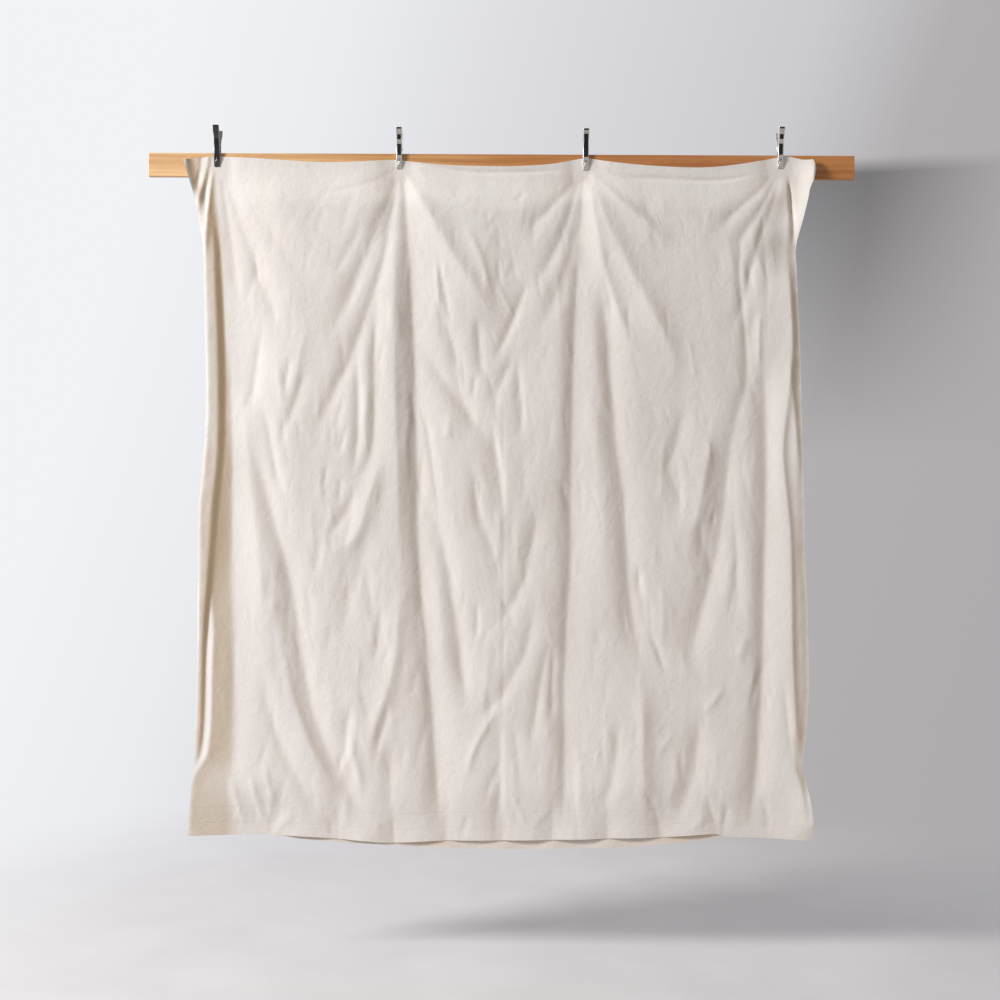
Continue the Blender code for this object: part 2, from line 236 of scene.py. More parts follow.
PLATES = {
    "bright plate": plate_finish("bright plate", (0.80, 0.77, 0.72), 0.24, 0.65),
    "plate painted dark": plate_finish("plate painted dark", (0.30, 0.28, 0.27), 0.16),
}
SPRING_WIRE = plate_finish("spring wire", (0.17, 0.16, 0.155), 0.30)
# Painted dark reflection and shade: a near-black finish for the panels pressed into the front arms.
PAINTED_DARK_FINISH = new_finish("panel painted dark", (0.012, 0.012, 0.013), 0.35)[0]


def pick(shape, wanted):
    """Selects the points of the shape in edit mode that this test takes, and no others."""
    bpy.ops.mesh.select_all(action="DESELECT")
    mesh = bmesh.from_edit_mesh(shape.data)
    for point in mesh.verts:
        if wanted(point.co):
            point.select_set(True)
    mesh.select_flush_mode()
    bmesh.update_edit_mesh(shape.data)


def at_height(height):
    """A test for the points at this height."""
    return lambda place: abs(place.z - height) < 1e-6


def apply_modifier(shape, name, kind, **settings):
    """Adds a modifier with these settings and makes its result the mesh."""
    added = shape.modifiers.new(name, kind)
    for setting, value in settings.items():
        setattr(added, setting, value)
    bpy.ops.object.modifier_apply(modifier=added.name)


def bent_arm(name, side, narrower):
    """One arm at the origin, tip down, bent from a strip. side is -1 for the front arm and 1 for the back."""
    height, half, wall, edge = ARM[STRIP_ROW]
    half -= narrower
    outer = wall + SHEET
    bpy.ops.mesh.primitive_plane_add(size=2, location=(0, 0, 0))
    arm = bpy.context.object
    arm.name = name
    arm.scale = (half, (outer - edge) / 2, 1)
    arm.location = (0, side * (outer + edge) / 2, height)
    bpy.ops.object.transform_apply(location=True, rotation=True, scale=True)

    # The plane becomes the strip's cross-section: a channel, open towards the rail, with rounded bends.
    bpy.ops.object.mode_set(mode="EDIT")
    bpy.ops.mesh.select_all(action="SELECT")
    bpy.ops.mesh.delete(type="ONLY_FACE")
    pick(arm, lambda place: side * place.y < (outer + edge) / 2)
    bpy.ops.mesh.delete(type="EDGE")
    pick(arm, lambda place: side * place.y > (outer + edge) / 2)
    bpy.ops.mesh.bevel(offset=CORNER, segments=4, affect="VERTICES")

    # It is drawn up to the handle and down to the tip, a row at a time.
    for rows in (ARM[STRIP_ROW + 1:], ARM[STRIP_ROW - 1::-1]):
        was = ARM[STRIP_ROW]
        for row in rows:
            pick(arm, at_height(was[0]))
            bpy.ops.mesh.extrude_region_move(
                TRANSFORM_OT_translate={"value": (0, side * (row[2] - was[2]), row[0] - was[0])}
            )
            widen = (row[1] - narrower) / (was[1] - narrower)
            bpy.ops.transform.resize(value=(widen, 1, 1), center_override=(0, 0, row[0]))

            # The two ends of the cross-section are the rims of the side walls, and go to where those end.
            mesh = bmesh.from_edit_mesh(arm.data)
            section = [point for point in mesh.verts if abs(point.co.z - row[0]) < 1e-6]
            rims = sorted(section, key=lambda point: side * point.co.y)[:2]
            shift = side * row[3] - rims[0].co.y
            bpy.ops.mesh.select_all(action="DESELECT")
            for point in rims:
                point.select_set(True)
            bmesh.update_edit_mesh(arm.data)
            bpy.ops.transform.translate(value=(0, shift, 0))
            was = row

    bpy.ops.mesh.select_all(action="SELECT")
    bpy.ops.mesh.remove_doubles(threshold=1e-5)
    bpy.ops.mesh.normals_make_consistent(inside=False)
    mesh = bmesh.from_edit_mesh(arm.data)
    middles = {face: face.calc_center_median() for face in mesh.faces}
    outermost = max(middles, key=lambda face: side * middles[face].y - abs(middles[face].x))
    if outermost.normal.y * side < 0:
        bpy.ops.mesh.flip_normals()
    bpy.ops.object.mode_set(mode="OBJECT")
    apply_modifier(arm, "Sheet", "SOLIDIFY", thickness=SHEET, offset=-1, use_even_offset=False)
    sharp = math.radians(55)
    apply_modifier(arm, "Rim", "BEVEL", width=0.00035, segments=2, limit_method="ANGLE", angle_limit=sharp)
    bpy.ops.object.shade_smooth_by_angle(angle=math.radians(40))
    return arm


def join(shapes):
    """These objects as one, named as the first is."""
    bpy.ops.object.select_all(action="DESELECT")
    for shape in shapes:
        shape.select_set(True)
    bpy.context.view_layer.objects.active = shapes[0]
    bpy.ops.object.join()
    bpy.ops.object.transform_apply(location=True, rotation=True, scale=True)
    bpy.ops.object.shade_smooth_by_angle(angle=math.radians(40))
    return shapes[0]


def dome(x, y, z, radius, rise, turn):
    """A low domed rivet head."""
    bpy.ops.mesh.primitive_uv_sphere_add(
        segments=24, ring_count=12, radius=radius, location=(x, y, z), rotation=turn
    )
    head = bpy.context.object
    head.scale = (1, 1, rise / radius)
    bpy.ops.object.transform_apply(location=True, rotation=True, scale=True)
    return head


def jaw_rib(x, y, z, lean, slope):
    """One stroke of the V pressed into the jaw to stiffen it."""
    bpy.ops.mesh.primitive_uv_sphere_add(
        segments=16, ring_count=10, radius=0.0011, location=(x, y, z), rotation=(slope, lean, 0)
    )
    rib = bpy.context.object
    rib.scale = (1, 0.7, 10)
    bpy.ops.object.transform_apply(location=True, rotation=True, scale=True)
    return rib


# The panels pressed into the front arms and painted near black, for the dark reflections and shaded inside of
# the plated arms: from and to which height, and half their width.
BRIGHT_PANELS = ((0.046, 0.084, 0.0068), (0.098, 0.114, 0.0066), (0.1315, 0.1365, 0.0085))
BARRED_PANELS = ((0.044, 0.120, 0.0078), (0.1315, 0.1365, 0.0085))
DARK_PANELS = ((0.026, 0.096, 0.0078), (0.1315, 0.1365, 0.0085))


def press_panels(arm, panels):
    """Sinks each panel half a millimetre into the arm's wall and gives it the arm's third finish, painted near
    black for dark reflections and shade.
    """
    for low, high, half in panels:
        bpy.ops.object.mode_set(mode="EDIT")
        cuts = ((low, (0, 0, 1)), (high, (0, 0, 1)), (-half, (1, 0, 0)), (half, (1, 0, 0)))
        for place, across in cuts:
            bpy.ops.mesh.select_all(action="SELECT")
            spot = tuple(place * way for way in across)
            bpy.ops.mesh.bisect(plane_co=spot, plane_no=across)
        bpy.ops.mesh.select_all(action="DESELECT")
        mesh = bmesh.from_edit_mesh(arm.data)
        for face in mesh.faces:
            middle = face.calc_center_median()
            inside = low < middle.z < high and abs(middle.x) < half and face.normal.y < -0.5
            face.select_set(inside)
            if inside:
                face.material_index = 2
        bmesh.update_edit_mesh(arm.data)
        bpy.ops.mesh.inset(thickness=0.0006, depth=0)
        bpy.ops.transform.translate(value=(0, 0.0006, 0))
        bpy.ops.object.mode_set(mode="OBJECT")


def shaped_arm(name, side, narrower, panels=()):
    """An arm with its pressed V and its rivet in the jaw."""
    arm = bent_arm(name, side, narrower)
    for finish in (PLATES["bright plate"], SPRING_WIRE, PAINTED_DARK_FINISH):
        arm.data.materials.append(finish)
    press_panels(arm, panels)
    slope = -side * JAW_SLOPE
    x, depth, height = RIB_AT
    ribs = [jaw_rib(way * x, side * (depth + SHEET), height, -way * RIB_LEAN, slope) for way in (-1, 1)]
    x, depth, height = RIVET_AT
    rivet = dome(x, side * (depth + SHEET), height, 0.0026, 0.0012, (math.pi / 2 + slope, 0, 0))
    for rib in ribs:
        rib.data.materials.append(PLATES["bright plate"])
    rivet.data.materials.append(SPRING_WIRE)
    return join([arm, *ribs, rivet])


def riveted_pin():
    """The pin across the ears, at the origin's height, with a domed head outside each ear."""
    turn = (0, math.pi / 2, 0)
    bpy.ops.mesh.primitive_cylinder_add(vertices=24, radius=PIN_RADIUS, depth=2 * EAR_HALF, rotation=turn)
    pin = bpy.context.object
    pin.name = "pin"
    heads = [dome(way * (EAR_HALF + GAP), 0, 0, 0.0045, 0.0014, turn) for way in (-1, 1)]
    for shape in (pin, *heads):
        shape.data.materials.append(PLATES["bright plate"])
    return join([pin, *heads])


def wound_spring():
    """Wire wound round the pin, with a leg up inside each arm."""
    wire, radius, pitch, turns, steps = 0.0009, 0.0042, 0.0022, 3.5, 84
    reach, leg = 0.0234, 0.028
    path = [(-pitch * turns / 2, -reach, leg)]
    for step in range(steps + 1):
        angle = math.pi + 2 * math.pi * turns * step / steps
        across = pitch * turns * (step / steps - 0.5)
        path.append((across, radius * math.cos(angle), radius * math.sin(angle)))
    path.append((pitch * turns / 2, reach, leg))
    line = bpy.data.curves.new("spring", "CURVE")
    line.dimensions = "3D"
    line.bevel_depth = wire
    line.bevel_resolution = 3
    line.use_fill_caps = True
    spline = line.splines.new("POLY")
    spline.points.add(len(path) - 1)
    for point, place in zip(spline.points, path):
        point.co = (*place, 1)
    spring = bpy.data.objects.new("spring", line)
    bpy.context.scene.collection.objects.link(spring)
    bpy.ops.object.select_all(action="DESELECT")
    spring.select_set(True)
    bpy.context.view_layer.objects.active = spring
    bpy.ops.object.convert(target="MESH")
    bpy.ops.object.shade_smooth_by_angle(angle=math.radians(60))
    spring = bpy.context.object
    spring.data.materials.append(SPRING_WIRE)
    return spring


def place_piece(pattern, name, x, y, z, replaced):
    """A copy of the pattern piece, with its place in its mesh, that rides and stands for its node."""
    piece = bpy.data.objects.new(name, pattern.data.copy())
    bpy.context.scene.collection.objects.link(piece)
    piece.data.transform(Matrix.Translation((x, y, z)))
    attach(piece, "root")
    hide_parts(replaced)
    return piece


back_arm, pin, spring = shaped_arm("back arm", 1, SHEET + GAP), riveted_pin(), wound_spring()
front_arms = {
    "bright plate": shaped_arm("bright front arm", -1, 0, BRIGHT_PANELS),
    "barred plate": shaped_arm("barred front arm", -1, 0, BARRED_PANELS),
    "plate painted dark": shaped_arm("dark front arm", -1, 0, DARK_PANELS),
}
for number, middle, tip, plate in CLAMPS:
    patterns = (
        (front_arms[plate], "front_arm", FRONT_JAW, 0, "clamp_chrome"),
        (back_arm, "back_arm", BACK_JAW, 0, "clamp_chrome"),
        (pin, "pin", PIN_Y, PIN_HEIGHT, "clamp_chrome"),
        (spring, "spring", PIN_Y, PIN_HEIGHT, "spring_steel"),
    )
    for pattern, part, y, rise, slot in patterns:
        node_name = f"clamp{number}_{part}"
        piece = place_piece(pattern, f"{node_name}_shaped", middle, y, tip + rise, node_name)
        if slot == "clamp_chrome":
            piece.data.materials[0] = PLATES.get(plate, PLATES["bright plate"])
for pattern in (*front_arms.values(), back_arm, pin, spring):
    bpy.data.objects.remove(pattern)


# --------------------------------------------------------------------------------------- the cotton panels
# Two layers of washed plain-weave cotton, sewn together along the top and both sides and open at the foot.
# The front one shows the pulls from each clamp, the swags between them and the creases of the packing.

FLAT_WIDTH, FLAT_LENGTH, BACK_LENGTH = 2.18, 2.34, 2.36
SEAM_PITCH = CLOTH + GAP

# The cover's outline. Down each side: height, x. Across the top and both feet: x, height.
LEFT_EDGE = (
    (0.023, -1.095), (-0.043, -1.076), (-0.095, -1.062), (-0.181, -1.045), (-0.219, -1.039), (-0.278, -1.026),
    (-0.399, -1.023), (-0.760, -1.014), (-0.900, -1.014), (-1.073, -1.027), (-1.211, -1.037), (-1.505, -1.035),
    (-1.747, -1.038), (-1.975, -1.044), (-2.075, -1.048), (-2.158, -1.056), (-2.313, -1.068),
)
RIGHT_EDGE = (
    (0.024, 1.072), (-0.005, 1.082), (-0.040, 1.076), (-0.078, 1.060), (-0.113, 1.053), (-0.262, 1.019),
    (-0.355, 1.018), (-0.459, 1.020), (-0.579, 1.027), (-0.856, 1.036), (-1.046, 1.041), (-1.191, 1.046),
    (-1.330, 1.048), (-1.495, 1.057), (-1.668, 1.062), (-1.806, 1.064), (-1.944, 1.056), (-2.059, 1.044),
    (-2.117, 1.058), (-2.197, 1.074), (-2.262, 1.085), (-2.307, 1.086), (-2.324, 1.079),
)
TOP_EDGE = (
    (-1.095, 0.015), (-1.040, 0.022), (-0.983, 0.028), (-0.800, 0.018), (-0.631, 0.009), (-0.500, 0.011),
    (-0.367, 0.019), (-0.337, 0.016), (-0.240, 0.005), (-0.147, -0.001), (-0.050, -0.003), (0.043, -0.003),
    (0.170, 0.006), (0.275, 0.026), (0.309, 0.026), (0.400, 0.012), (0.540, 0.000), (0.696, -0.004),
    (0.830, 0.010), (0.948, 0.032), (0.980, 0.039), (1.038, 0.025), (1.072, 0.024),
)
FRONT_FOOT = (
    (-1.068, -2.313), (-0.920, -2.313), (-0.783, -2.313), (-0.660, -2.318), (-0.555, -2.325), (-0.460, -2.332),
    (-0.361, -2.338), (-0.192, -2.330), (0.005, -2.328), (0.213, -2.325), (0.420, -2.319), (0.565, -2.315),
    (0.741, -2.303), (0.776, -2.312), (0.938, -2.317), (1.079, -2.324),
)
BACK_FOOT = (
    (-1.068, -2.313), (-0.783, -2.313), (-0.686, -2.327), (-0.548, -2.337), (-0.361, -2.348), (-0.167, -2.356),
    (0.005, -2.359), (0.144, -2.358), (0.351, -2.353), (0.489, -2.348), (0.697, -2.326), (0.776, -2.312),
    (0.938, -2.317), (1.079, -2.324),
)

# How the two layers hang: the seams' y under a jaw and where they hang free, how far each layer stands off
# them, and how far in from each edge they have parted. Between clamps the top seam bulges forward.
NIPPED_Y = RAIL_FRONT - GAP - CLOTH - GAP / 2
FREE_Y = -0.02425
FRONT_STAND, BACK_STAND, POCKET_HALF = 0.0185, 0.0085, 0.005
PART_LEFT, PART_RIGHT, PART_TOP, PART_FOOT = 0.24, (0.028, 0.15), (0.012, 0.16), 0.20
RIGHT_SHARE = 0.88
TOP_BULGE, TOP_BULGE_DEPTH = 0.007, 0.30

# Outside this x and above this height, the two layers of a top corner hang together as one.
LOOSE_CORNER = (0.985, -0.36)

# The cloth that a jaw holds flat: its half width, how deep it lies, and where it is free again. JAW_MIDDLE is
# the height that the pulls run out from, and NEAREST is the y of the fullest fold.
NIP_HALF, NIP_DEPTH, NIP_FADE = 0.0115, 0.034, 0.150
JAW_MIDDLE = -0.012
NEAREST = -0.0655

# Where the cloth is clear of the rail's lower edge, and how far back it may lie below there. Then over how
# much it eases to a stop, at the fullest fold in front and behind.
RAIL_FOOT, BELOW_RAIL = -0.085, 0.004
EASE_FRONT, EASE_BACK = 0.006, 0.001

# The foot is open between the mouth's ends. The hems are fastened together at these points, and gape between
# them by this share of what the layers are parted by higher up.
MOUTH = (-0.783, 0.776)
FASTENED = (-0.555, -0.361, -0.181, 0.012, 0.185, 0.375, 0.565)
GAPE = 0.32

# A crease: what it is, its height in millimetres (a ridge stands forward, a trough back), half its width to
# its left and to its right in millimetres, and the points that it runs through, as x and height.
FRONT_CREASES = (
    # Between the first clamp and the second.
    ("thin drag under the top", -1.6, 9, 12, (-0.37, -0.02), (-0.43, -0.052), (-0.50, -0.078),
     (-0.56, -0.090), (-0.61, -0.103)),
    ("first drag left of clamp 2", -5.5, 30, 34, (-0.362, -0.03), (-0.388, -0.13), (-0.418, -0.20),
     (-0.458, -0.30), (-0.498, -0.40), (-0.532, -0.48), (-0.572, -0.56), (-0.61, -0.62)),
    ("second drag left of clamp 2", -5.5, 27, 32, (-0.358, -0.05), (-0.382, -0.22), (-0.41, -0.36),
     (-0.44, -0.45), (-0.465, -0.53), (-0.49, -0.60), (-0.52, -0.68), (-0.56, -0.76), (-0.59, -0.83),
     (-0.62, -0.89), (-0.64, -0.97)),
    ("upright drag into the hook", -5, 17, 34, (-0.42, -0.40), (-0.431, -0.55), (-0.433, -0.70),
     (-0.432, -0.85), (-0.438, -0.96), (-0.455, -1.03), (-0.485, -1.08), (-0.515, -1.14)),
    ("dark pair", -4.2, 18, 15, (-0.495, -0.62), (-0.490, -0.75), (-0.487, -0.87), (-0.491, -0.96),
     (-0.505, -1.05), (-0.53, -1.10)),
    ("short crease in the pair", -2, 10, 8, (-0.528, -0.91), (-0.543, -0.96), (-0.555, -1.00)),
    ("small V under the top", -2.4, 18, 18, (-0.478, -0.19), (-0.51, -0.27), (-0.545, -0.335),
     (-0.585, -0.39)),
    ("its left arm", -2.8, 32, 42, (-0.88, -0.10), (-0.80, -0.225), (-0.745, -0.305), (-0.695, -0.37),
     (-0.64, -0.44)),
    ("drag right of clamp 1", -4.2, 26, 42, (-0.95, -0.05), (-0.90, -0.19), (-0.858, -0.30),
     (-0.832, -0.40), (-0.80, -0.46), (-0.775, -0.53), (-0.75, -0.60), (-0.71, -0.67)),
    ("sharp line in that drag", -1.6, 8, 6, (-0.852, -0.29), (-0.842, -0.35), (-0.838, -0.42)),
    ("thin drop below clamp 1", -2.4, 14, 16, (-0.962, -0.06), (-0.938, -0.22), (-0.918, -0.35),
     (-0.905, -0.45), (-0.895, -0.54)),
    ("dark dent at the left", -4, 17, 18, (-0.825, -0.58), (-0.838, -0.68), (-0.85, -0.77), (-0.856, -0.87)),
    ("short crease", -2.2, 12, 12, (-0.722, -0.65), (-0.732, -0.72), (-0.742, -0.80)),
    ("slanting crease", -3.2, 16, 20, (-0.668, -0.68), (-0.688, -0.77), (-0.718, -0.86), (-0.75, -0.94)),
    ("crease down to the long trough", -3.2, 17, 18, (-0.835, -0.80), (-0.80, -0.90), (-0.785, -0.99),
     (-0.768, -1.07), (-0.752, -1.16)),
    ("long trough", -8.5, 40, 42, (-0.862, -0.90), (-0.838, -1.02), (-0.805, -1.13), (-0.775, -1.24),
     (-0.745, -1.34), (-0.72, -1.44), (-0.70, -1.54), (-0.685, -1.66), (-0.668, -1.76), (-0.648, -1.86),
     (-0.62, -1.95), (-0.585, -2.03), (-0.55, -2.10), (-0.51, -2.17), (-0.475, -2.24), (-0.447, -2.32)),
    ("crest along the long trough", 3.2, 36, 14, (-0.745, -1.70), (-0.712, -1.82), (-0.672, -1.94),
     (-0.638, -2.02), (-0.60, -2.09), (-0.555, -2.17)),
    ("swelling of the left face", 6, 52, 46, (-0.90, -0.72), (-0.868, -1.00), (-0.84, -1.25),
     (-0.815, -1.50), (-0.80, -1.66)),
    ("trough to the mouth's end", -4.5, 30, 32, (-0.82, -1.70), (-0.80, -1.84), (-0.775, -1.93),
     (-0.75, -2.00), (-0.715, -2.07), (-0.68, -2.13), (-0.655, -2.20), (-0.635, -2.29)),
    ("hooked crest", 4.2, 26, 24, (-0.398, -0.98), (-0.432, -1.09), (-0.458, -1.17), (-0.478, -1.24),
     (-0.505, -1.295), (-0.555, -1.328), (-0.61, -1.35)),
    ("trough below the hook", -3.4, 38, 42, (-0.44, -1.18), (-0.465, -1.31), (-0.495, -1.42),
     (-0.525, -1.52), (-0.535, -1.62), (-0.54, -1.74)),
    ("crease inside the hook", -2.8, 18, 15, (-0.495, -1.10), (-0.522, -1.185), (-0.56, -1.245),
     (-0.615, -1.285)),
    ("crease in the hook's bend", -2, 11, 10, (-0.545, -1.07), (-0.55, -1.12), (-0.557, -1.175)),
    ("its neighbour", -1.8, 11, 10, (-0.595, -1.02), (-0.60, -1.07), (-0.615, -1.13)),
    ("dark crease left of pull 2", -2.4, 14, 16, (-0.408, -1.50), (-0.412, -1.60), (-0.425, -1.69),
     (-0.44, -1.74)),
    ("long crest left of the foot of pull 2", 4.6, 32, 26, (-0.342, -1.40), (-0.348, -1.58), (-0.36, -1.71),
     (-0.388, -1.82), (-0.42, -1.92), (-0.448, -2.02), (-0.455, -2.12)),
    ("dark wedge below it", -3, 18, 12, (-0.378, -1.84), (-0.395, -1.93), (-0.425, -2.03)),
    ("soft trough to the hem", -3.4, 30, 24, (-0.375, -1.98), (-0.372, -2.12), (-0.378, -2.26)),
    ("dark dent above the foot", -3, 20, 12, (-0.512, -1.84), (-0.522, -1.93), (-0.528, -2.02),
     (-0.52, -2.08)),
    ("second dent", -2.5, 14, 10, (-0.54, -2.02), (-0.545, -2.06), (-0.545, -2.11)),
    ("crest down to the hem", 3, 16, 14, (-0.508, -1.94), (-0.502, -2.02), (-0.482, -2.10), (-0.465, -2.18)),
    ("pucker low left", 2.4, 12, 14, (-0.925, -2.10), (-0.895, -2.21), (-0.872, -2.30)),
    ("pucker low left", 2.4, 12, 14, (-0.86, -2.08), (-0.83, -2.20), (-0.79, -2.30)),
    ("pucker low left", 2.2, 12, 10, (-0.808, -2.06), (-0.79, -2.14), (-0.772, -2.22)),
    ("crest at the mouth's corner", 3.2, 9, 12, (-0.70, -2.235), (-0.74, -2.268), (-0.782, -2.31)),
    ("pucker in the hem", -2.4, 9, 8, (-0.585, -2.25), (-0.577, -2.285), (-0.57, -2.325)),
    ("pucker in the hem", -1.2, 11, 10, (-0.372, -2.25), (-0.362, -2.29), (-0.36, -2.335)),
    ("pucker in the hem", 1.0, 11, 10, (-0.43, -2.26), (-0.415, -2.29), (-0.405, -2.33)),
    # The straight pulls under the second clamp and the third.
    ("pull under clamp 2", -10, 31, 62, (-0.345, 0.02), (-0.332, -0.10), (-0.316, -0.30), (-0.303, -0.50),
     (-0.294, -0.70), (-0.288, -0.90), (-0.285, -1.10), (-0.283, -1.25), (-0.272, -1.40), (-0.262, -1.55),
     (-0.246, -1.70), (-0.23, -1.85), (-0.22, -2.00), (-0.209, -2.15), (-0.20, -2.33)),
    ("crest left of pull 2", 2.5, 40, 18, (-0.368, -0.20), (-0.365, -0.50), (-0.362, -0.80),
     (-0.352, -1.10), (-0.345, -1.40)),
    ("second line in pull 2", -2, 8, 9, (-0.306, -0.76), (-0.302, -0.84), (-0.298, -0.92)),
    ("crest right of the foot of pull 2", 1.5, 22, 30, (-0.212, -1.30), (-0.205, -1.50), (-0.192, -1.70),
     (-0.178, -1.88)),
    ("pull under clamp 3", -8.5, 30, 84, (0.283, 0.02), (0.279, -0.153), (0.270, -0.257), (0.266, -0.395),
     (0.257, -0.54), (0.2505, -0.747), (0.248, -0.954), (0.2455, -1.163), (0.245, -1.37), (0.2335, -1.577),
     (0.226, -1.785), (0.228, -1.99), (0.225, -2.20), (0.217, -2.33)),
    ("crest right of pull 3", 2.5, 40, 40, (0.325, -0.35), (0.328, -0.70), (0.335, -1.00), (0.348, -1.25),
     (0.36, -1.45)),
    ("line beside the foot of pull 3", -3, 12, 14, (0.19, -1.62), (0.182, -1.78), (0.178, -1.94)),
    # Between the second clamp and the third.
    ("thin drag under the top", -1.4, 9, 11, (-0.32, -0.03), (-0.26, -0.065), (-0.18, -0.083),
     (-0.08, -0.092)),
    ("second thin drag", -1.8, 14, 14, (-0.24, -0.07), (-0.12, -0.103), (-0.02, -0.130), (0.09, -0.147)),
    ("broad crest right of clamp 2", 6.5, 42, 36, (-0.335, -0.02), (-0.287, -0.10), (-0.242, -0.18),
     (-0.20, -0.25), (-0.16, -0.32), (-0.12, -0.38), (-0.08, -0.44), (-0.035, -0.505), (0.005, -0.56)),
    ("thin curved crest", 2.4, 16, 12, (-0.135, -0.20), (-0.092, -0.27), (-0.063, -0.34), (-0.043, -0.41),
     (-0.028, -0.485)),
    ("upright line", -2.2, 11, 13, (-0.217, -0.31), (-0.197, -0.42), (-0.182, -0.50), (-0.172, -0.57)),
    ("bright upright line", 1.8, 8, 8, (-0.223, -0.32), (-0.218, -0.42), (-0.212, -0.51)),
    ("inner drag", -4.5, 22, 26, (-0.222, -0.46), (-0.188, -0.55), (-0.162, -0.63), (-0.148, -0.70),
     (-0.14, -0.77), (-0.115, -0.84), (-0.085, -0.91)),
    ("left arm of the great V", -5.5, 30, 30, (-0.275, -0.60), (-0.225, -0.70), (-0.17, -0.78),
     (-0.122, -0.84), (-0.087, -0.89), (-0.05, -0.93), (-0.015, -0.98)),
    ("dark wedge", -3.4, 19, 16, (-0.083, -0.51), (-0.074, -0.61), (-0.066, -0.69), (-0.045, -0.75)),
    ("its foot", -2, 10, 8, (-0.086, -0.72), (-0.09, -0.76), (-0.095, -0.81)),
    ("right arm of the V, thin above", -3.4, 14, 13, (0.10, -0.38), (0.057, -0.50), (0.022, -0.585),
     (-0.004, -0.64), (-0.038, -0.70)),
    ("left stroke of the V", 1.3, 7, 6, (-0.015, -0.41), (0.02, -0.475), (0.05, -0.53)),
    ("second right arm", -3.2, 19, 13, (0.05, -0.65), (0.012, -0.73), (-0.010, -0.79), (-0.035, -0.86)),
    ("soft upright trough", -2.8, 20, 13, (0.052, -0.62), (0.063, -0.74), (0.074, -0.85), (0.065, -0.97)),
    ("trough down the middle", -4.5, 32, 11, (-0.035, -0.86), (-0.02, -0.95), (-0.005, -1.04),
     (0.002, -1.12), (0.003, -1.22)),
    ("thin line right of pull 2", -2.2, 10, 14, (-0.30, -0.79), (-0.257, -0.89), (-0.24, -0.98),
     (-0.228, -1.07), (-0.212, -1.17), (-0.20, -1.25)),
    ("long sharp trough", -7, 32, 34, (-0.24, -1.10), (-0.207, -1.25), (-0.186, -1.35), (-0.168, -1.45),
     (-0.15, -1.56), (-0.135, -1.66), (-0.122, -1.76), (-0.108, -1.86), (-0.075, -1.93)),
    ("curved line to the middle", -2.8, 20, 18, (-0.118, -0.96), (-0.092, -1.08), (-0.08, -1.17),
     (-0.05, -1.26), (-0.02, -1.34), (-0.004, -1.42), (0.004, -1.51)),
    ("bent trough", -4.2, 24, 27, (0.128, -1.12), (0.121, -1.25), (0.102, -1.34), (0.086, -1.42),
     (0.062, -1.48), (0.025, -1.54), (-0.02, -1.58), (-0.07, -1.605)),
    ("low upright crease", -2.6, 13, 9, (-0.079, -1.49), (-0.076, -1.56), (-0.08, -1.64)),
    ("low slanting trough", -3.8, 25, 24, (0.12, -1.47), (0.105, -1.61), (0.08, -1.70), (0.04, -1.77),
     (0.0, -1.84), (-0.05, -1.885), (-0.11, -1.93)),
    ("sharp low crest", 3, 13, 10, (0.01, -1.84), (-0.035, -1.92), (-0.07, -1.98), (-0.095, -2.04),
     (-0.122, -2.12)),
    ("second sharp low line", -2.2, 10, 8, (0.008, -2.05), (-0.022, -2.12), (-0.048, -2.185)),
    ("soft shade left of the middle", -2.6, 36, 8, (0.0, -1.84), (0.003, -2.00), (0.004, -2.15),
     (0.004, -2.31)),
    ("low trough", -3.4, 19, 18, (0.178, -1.60), (0.152, -1.73), (0.136, -1.83), (0.122, -1.92),
     (0.108, -2.04)),
    ("line to the hem", 1.8, 8, 8, (0.042, -2.165), (0.068, -2.215), (0.098, -2.275)),
    ("line to the hem", 1.8, 8, 8, (0.187, -2.205), (0.15, -2.24), (0.112, -2.285)),
    ("crease to the hem", -2, 9, 9, (-0.10, -2.235), (-0.115, -2.275), (-0.13, -2.325)),
    ("wrinkle", -1.2, 7, 6, (-0.07, -0.245), (-0.04, -0.215), (-0.008, -0.18)),
    ("wrinkle", -1.2, 7, 6, (0.045, -0.13), (0.06, -0.115), (0.085, -0.095)),
    ("wrinkle", -1.2, 6, 6, (0.06, -0.32), (0.035, -0.36), (0.015, -0.40)),
    ("wrinkle", -1.2, 6, 6, (0.075, -0.335), (0.052, -0.365), (0.035, -0.395)),
    ("wrinkle", -1.2, 6, 6, (-0.002, -0.31), (-0.008, -0.36), (0.0, -0.42)),
    ("first drag left of clamp 3", -4.5, 27, 30, (0.280, 0.0), (0.238, -0.073), (0.192, -0.125),
     (0.15, -0.17), (0.105, -0.215), (0.065, -0.255)),
    ("second drag left of clamp 3", -4.8, 25, 25, (0.272, -0.03), (0.235, -0.17), (0.202, -0.26),
     (0.172, -0.325), (0.14, -0.38), (0.10, -0.44)),
    ("third drag left of clamp 3", -4, 23, 38, (0.262, -0.12), (0.241, -0.30), (0.21, -0.40), (0.18, -0.47),
     (0.15, -0.53), (0.115, -0.585)),
    # Between the third clamp and the fourth.
    ("broad crest right of clamp 3", 6, 40, 24, (0.300, -0.01), (0.35, -0.06), (0.40, -0.115),
     (0.45, -0.157), (0.50, -0.20), (0.55, -0.24), (0.61, -0.28)),
    ("second crest", 7, 46, 40, (0.315, -0.04), (0.365, -0.20), (0.41, -0.29), (0.45, -0.37), (0.49, -0.44),
     (0.53, -0.52), (0.565, -0.59), (0.60, -0.67), (0.635, -0.76)),
    ("third crest", 4.8, 36, 24, (0.308, -0.08), (0.343, -0.30), (0.375, -0.42), (0.405, -0.51),
     (0.44, -0.60), (0.465, -0.70)),
    ("long trough", -8.5, 38, 48, (0.33, -0.36), (0.36, -0.52), (0.375, -0.65), (0.385, -0.78),
     (0.393, -0.90), (0.405, -1.00), (0.42, -1.10), (0.427, -1.20), (0.436, -1.32), (0.446, -1.45),
     (0.457, -1.55), (0.477, -1.65), (0.505, -1.75)),
    ("first drag left of clamp 4", -4, 22, 22, (0.955, 0.0), (0.892, -0.083), (0.832, -0.135),
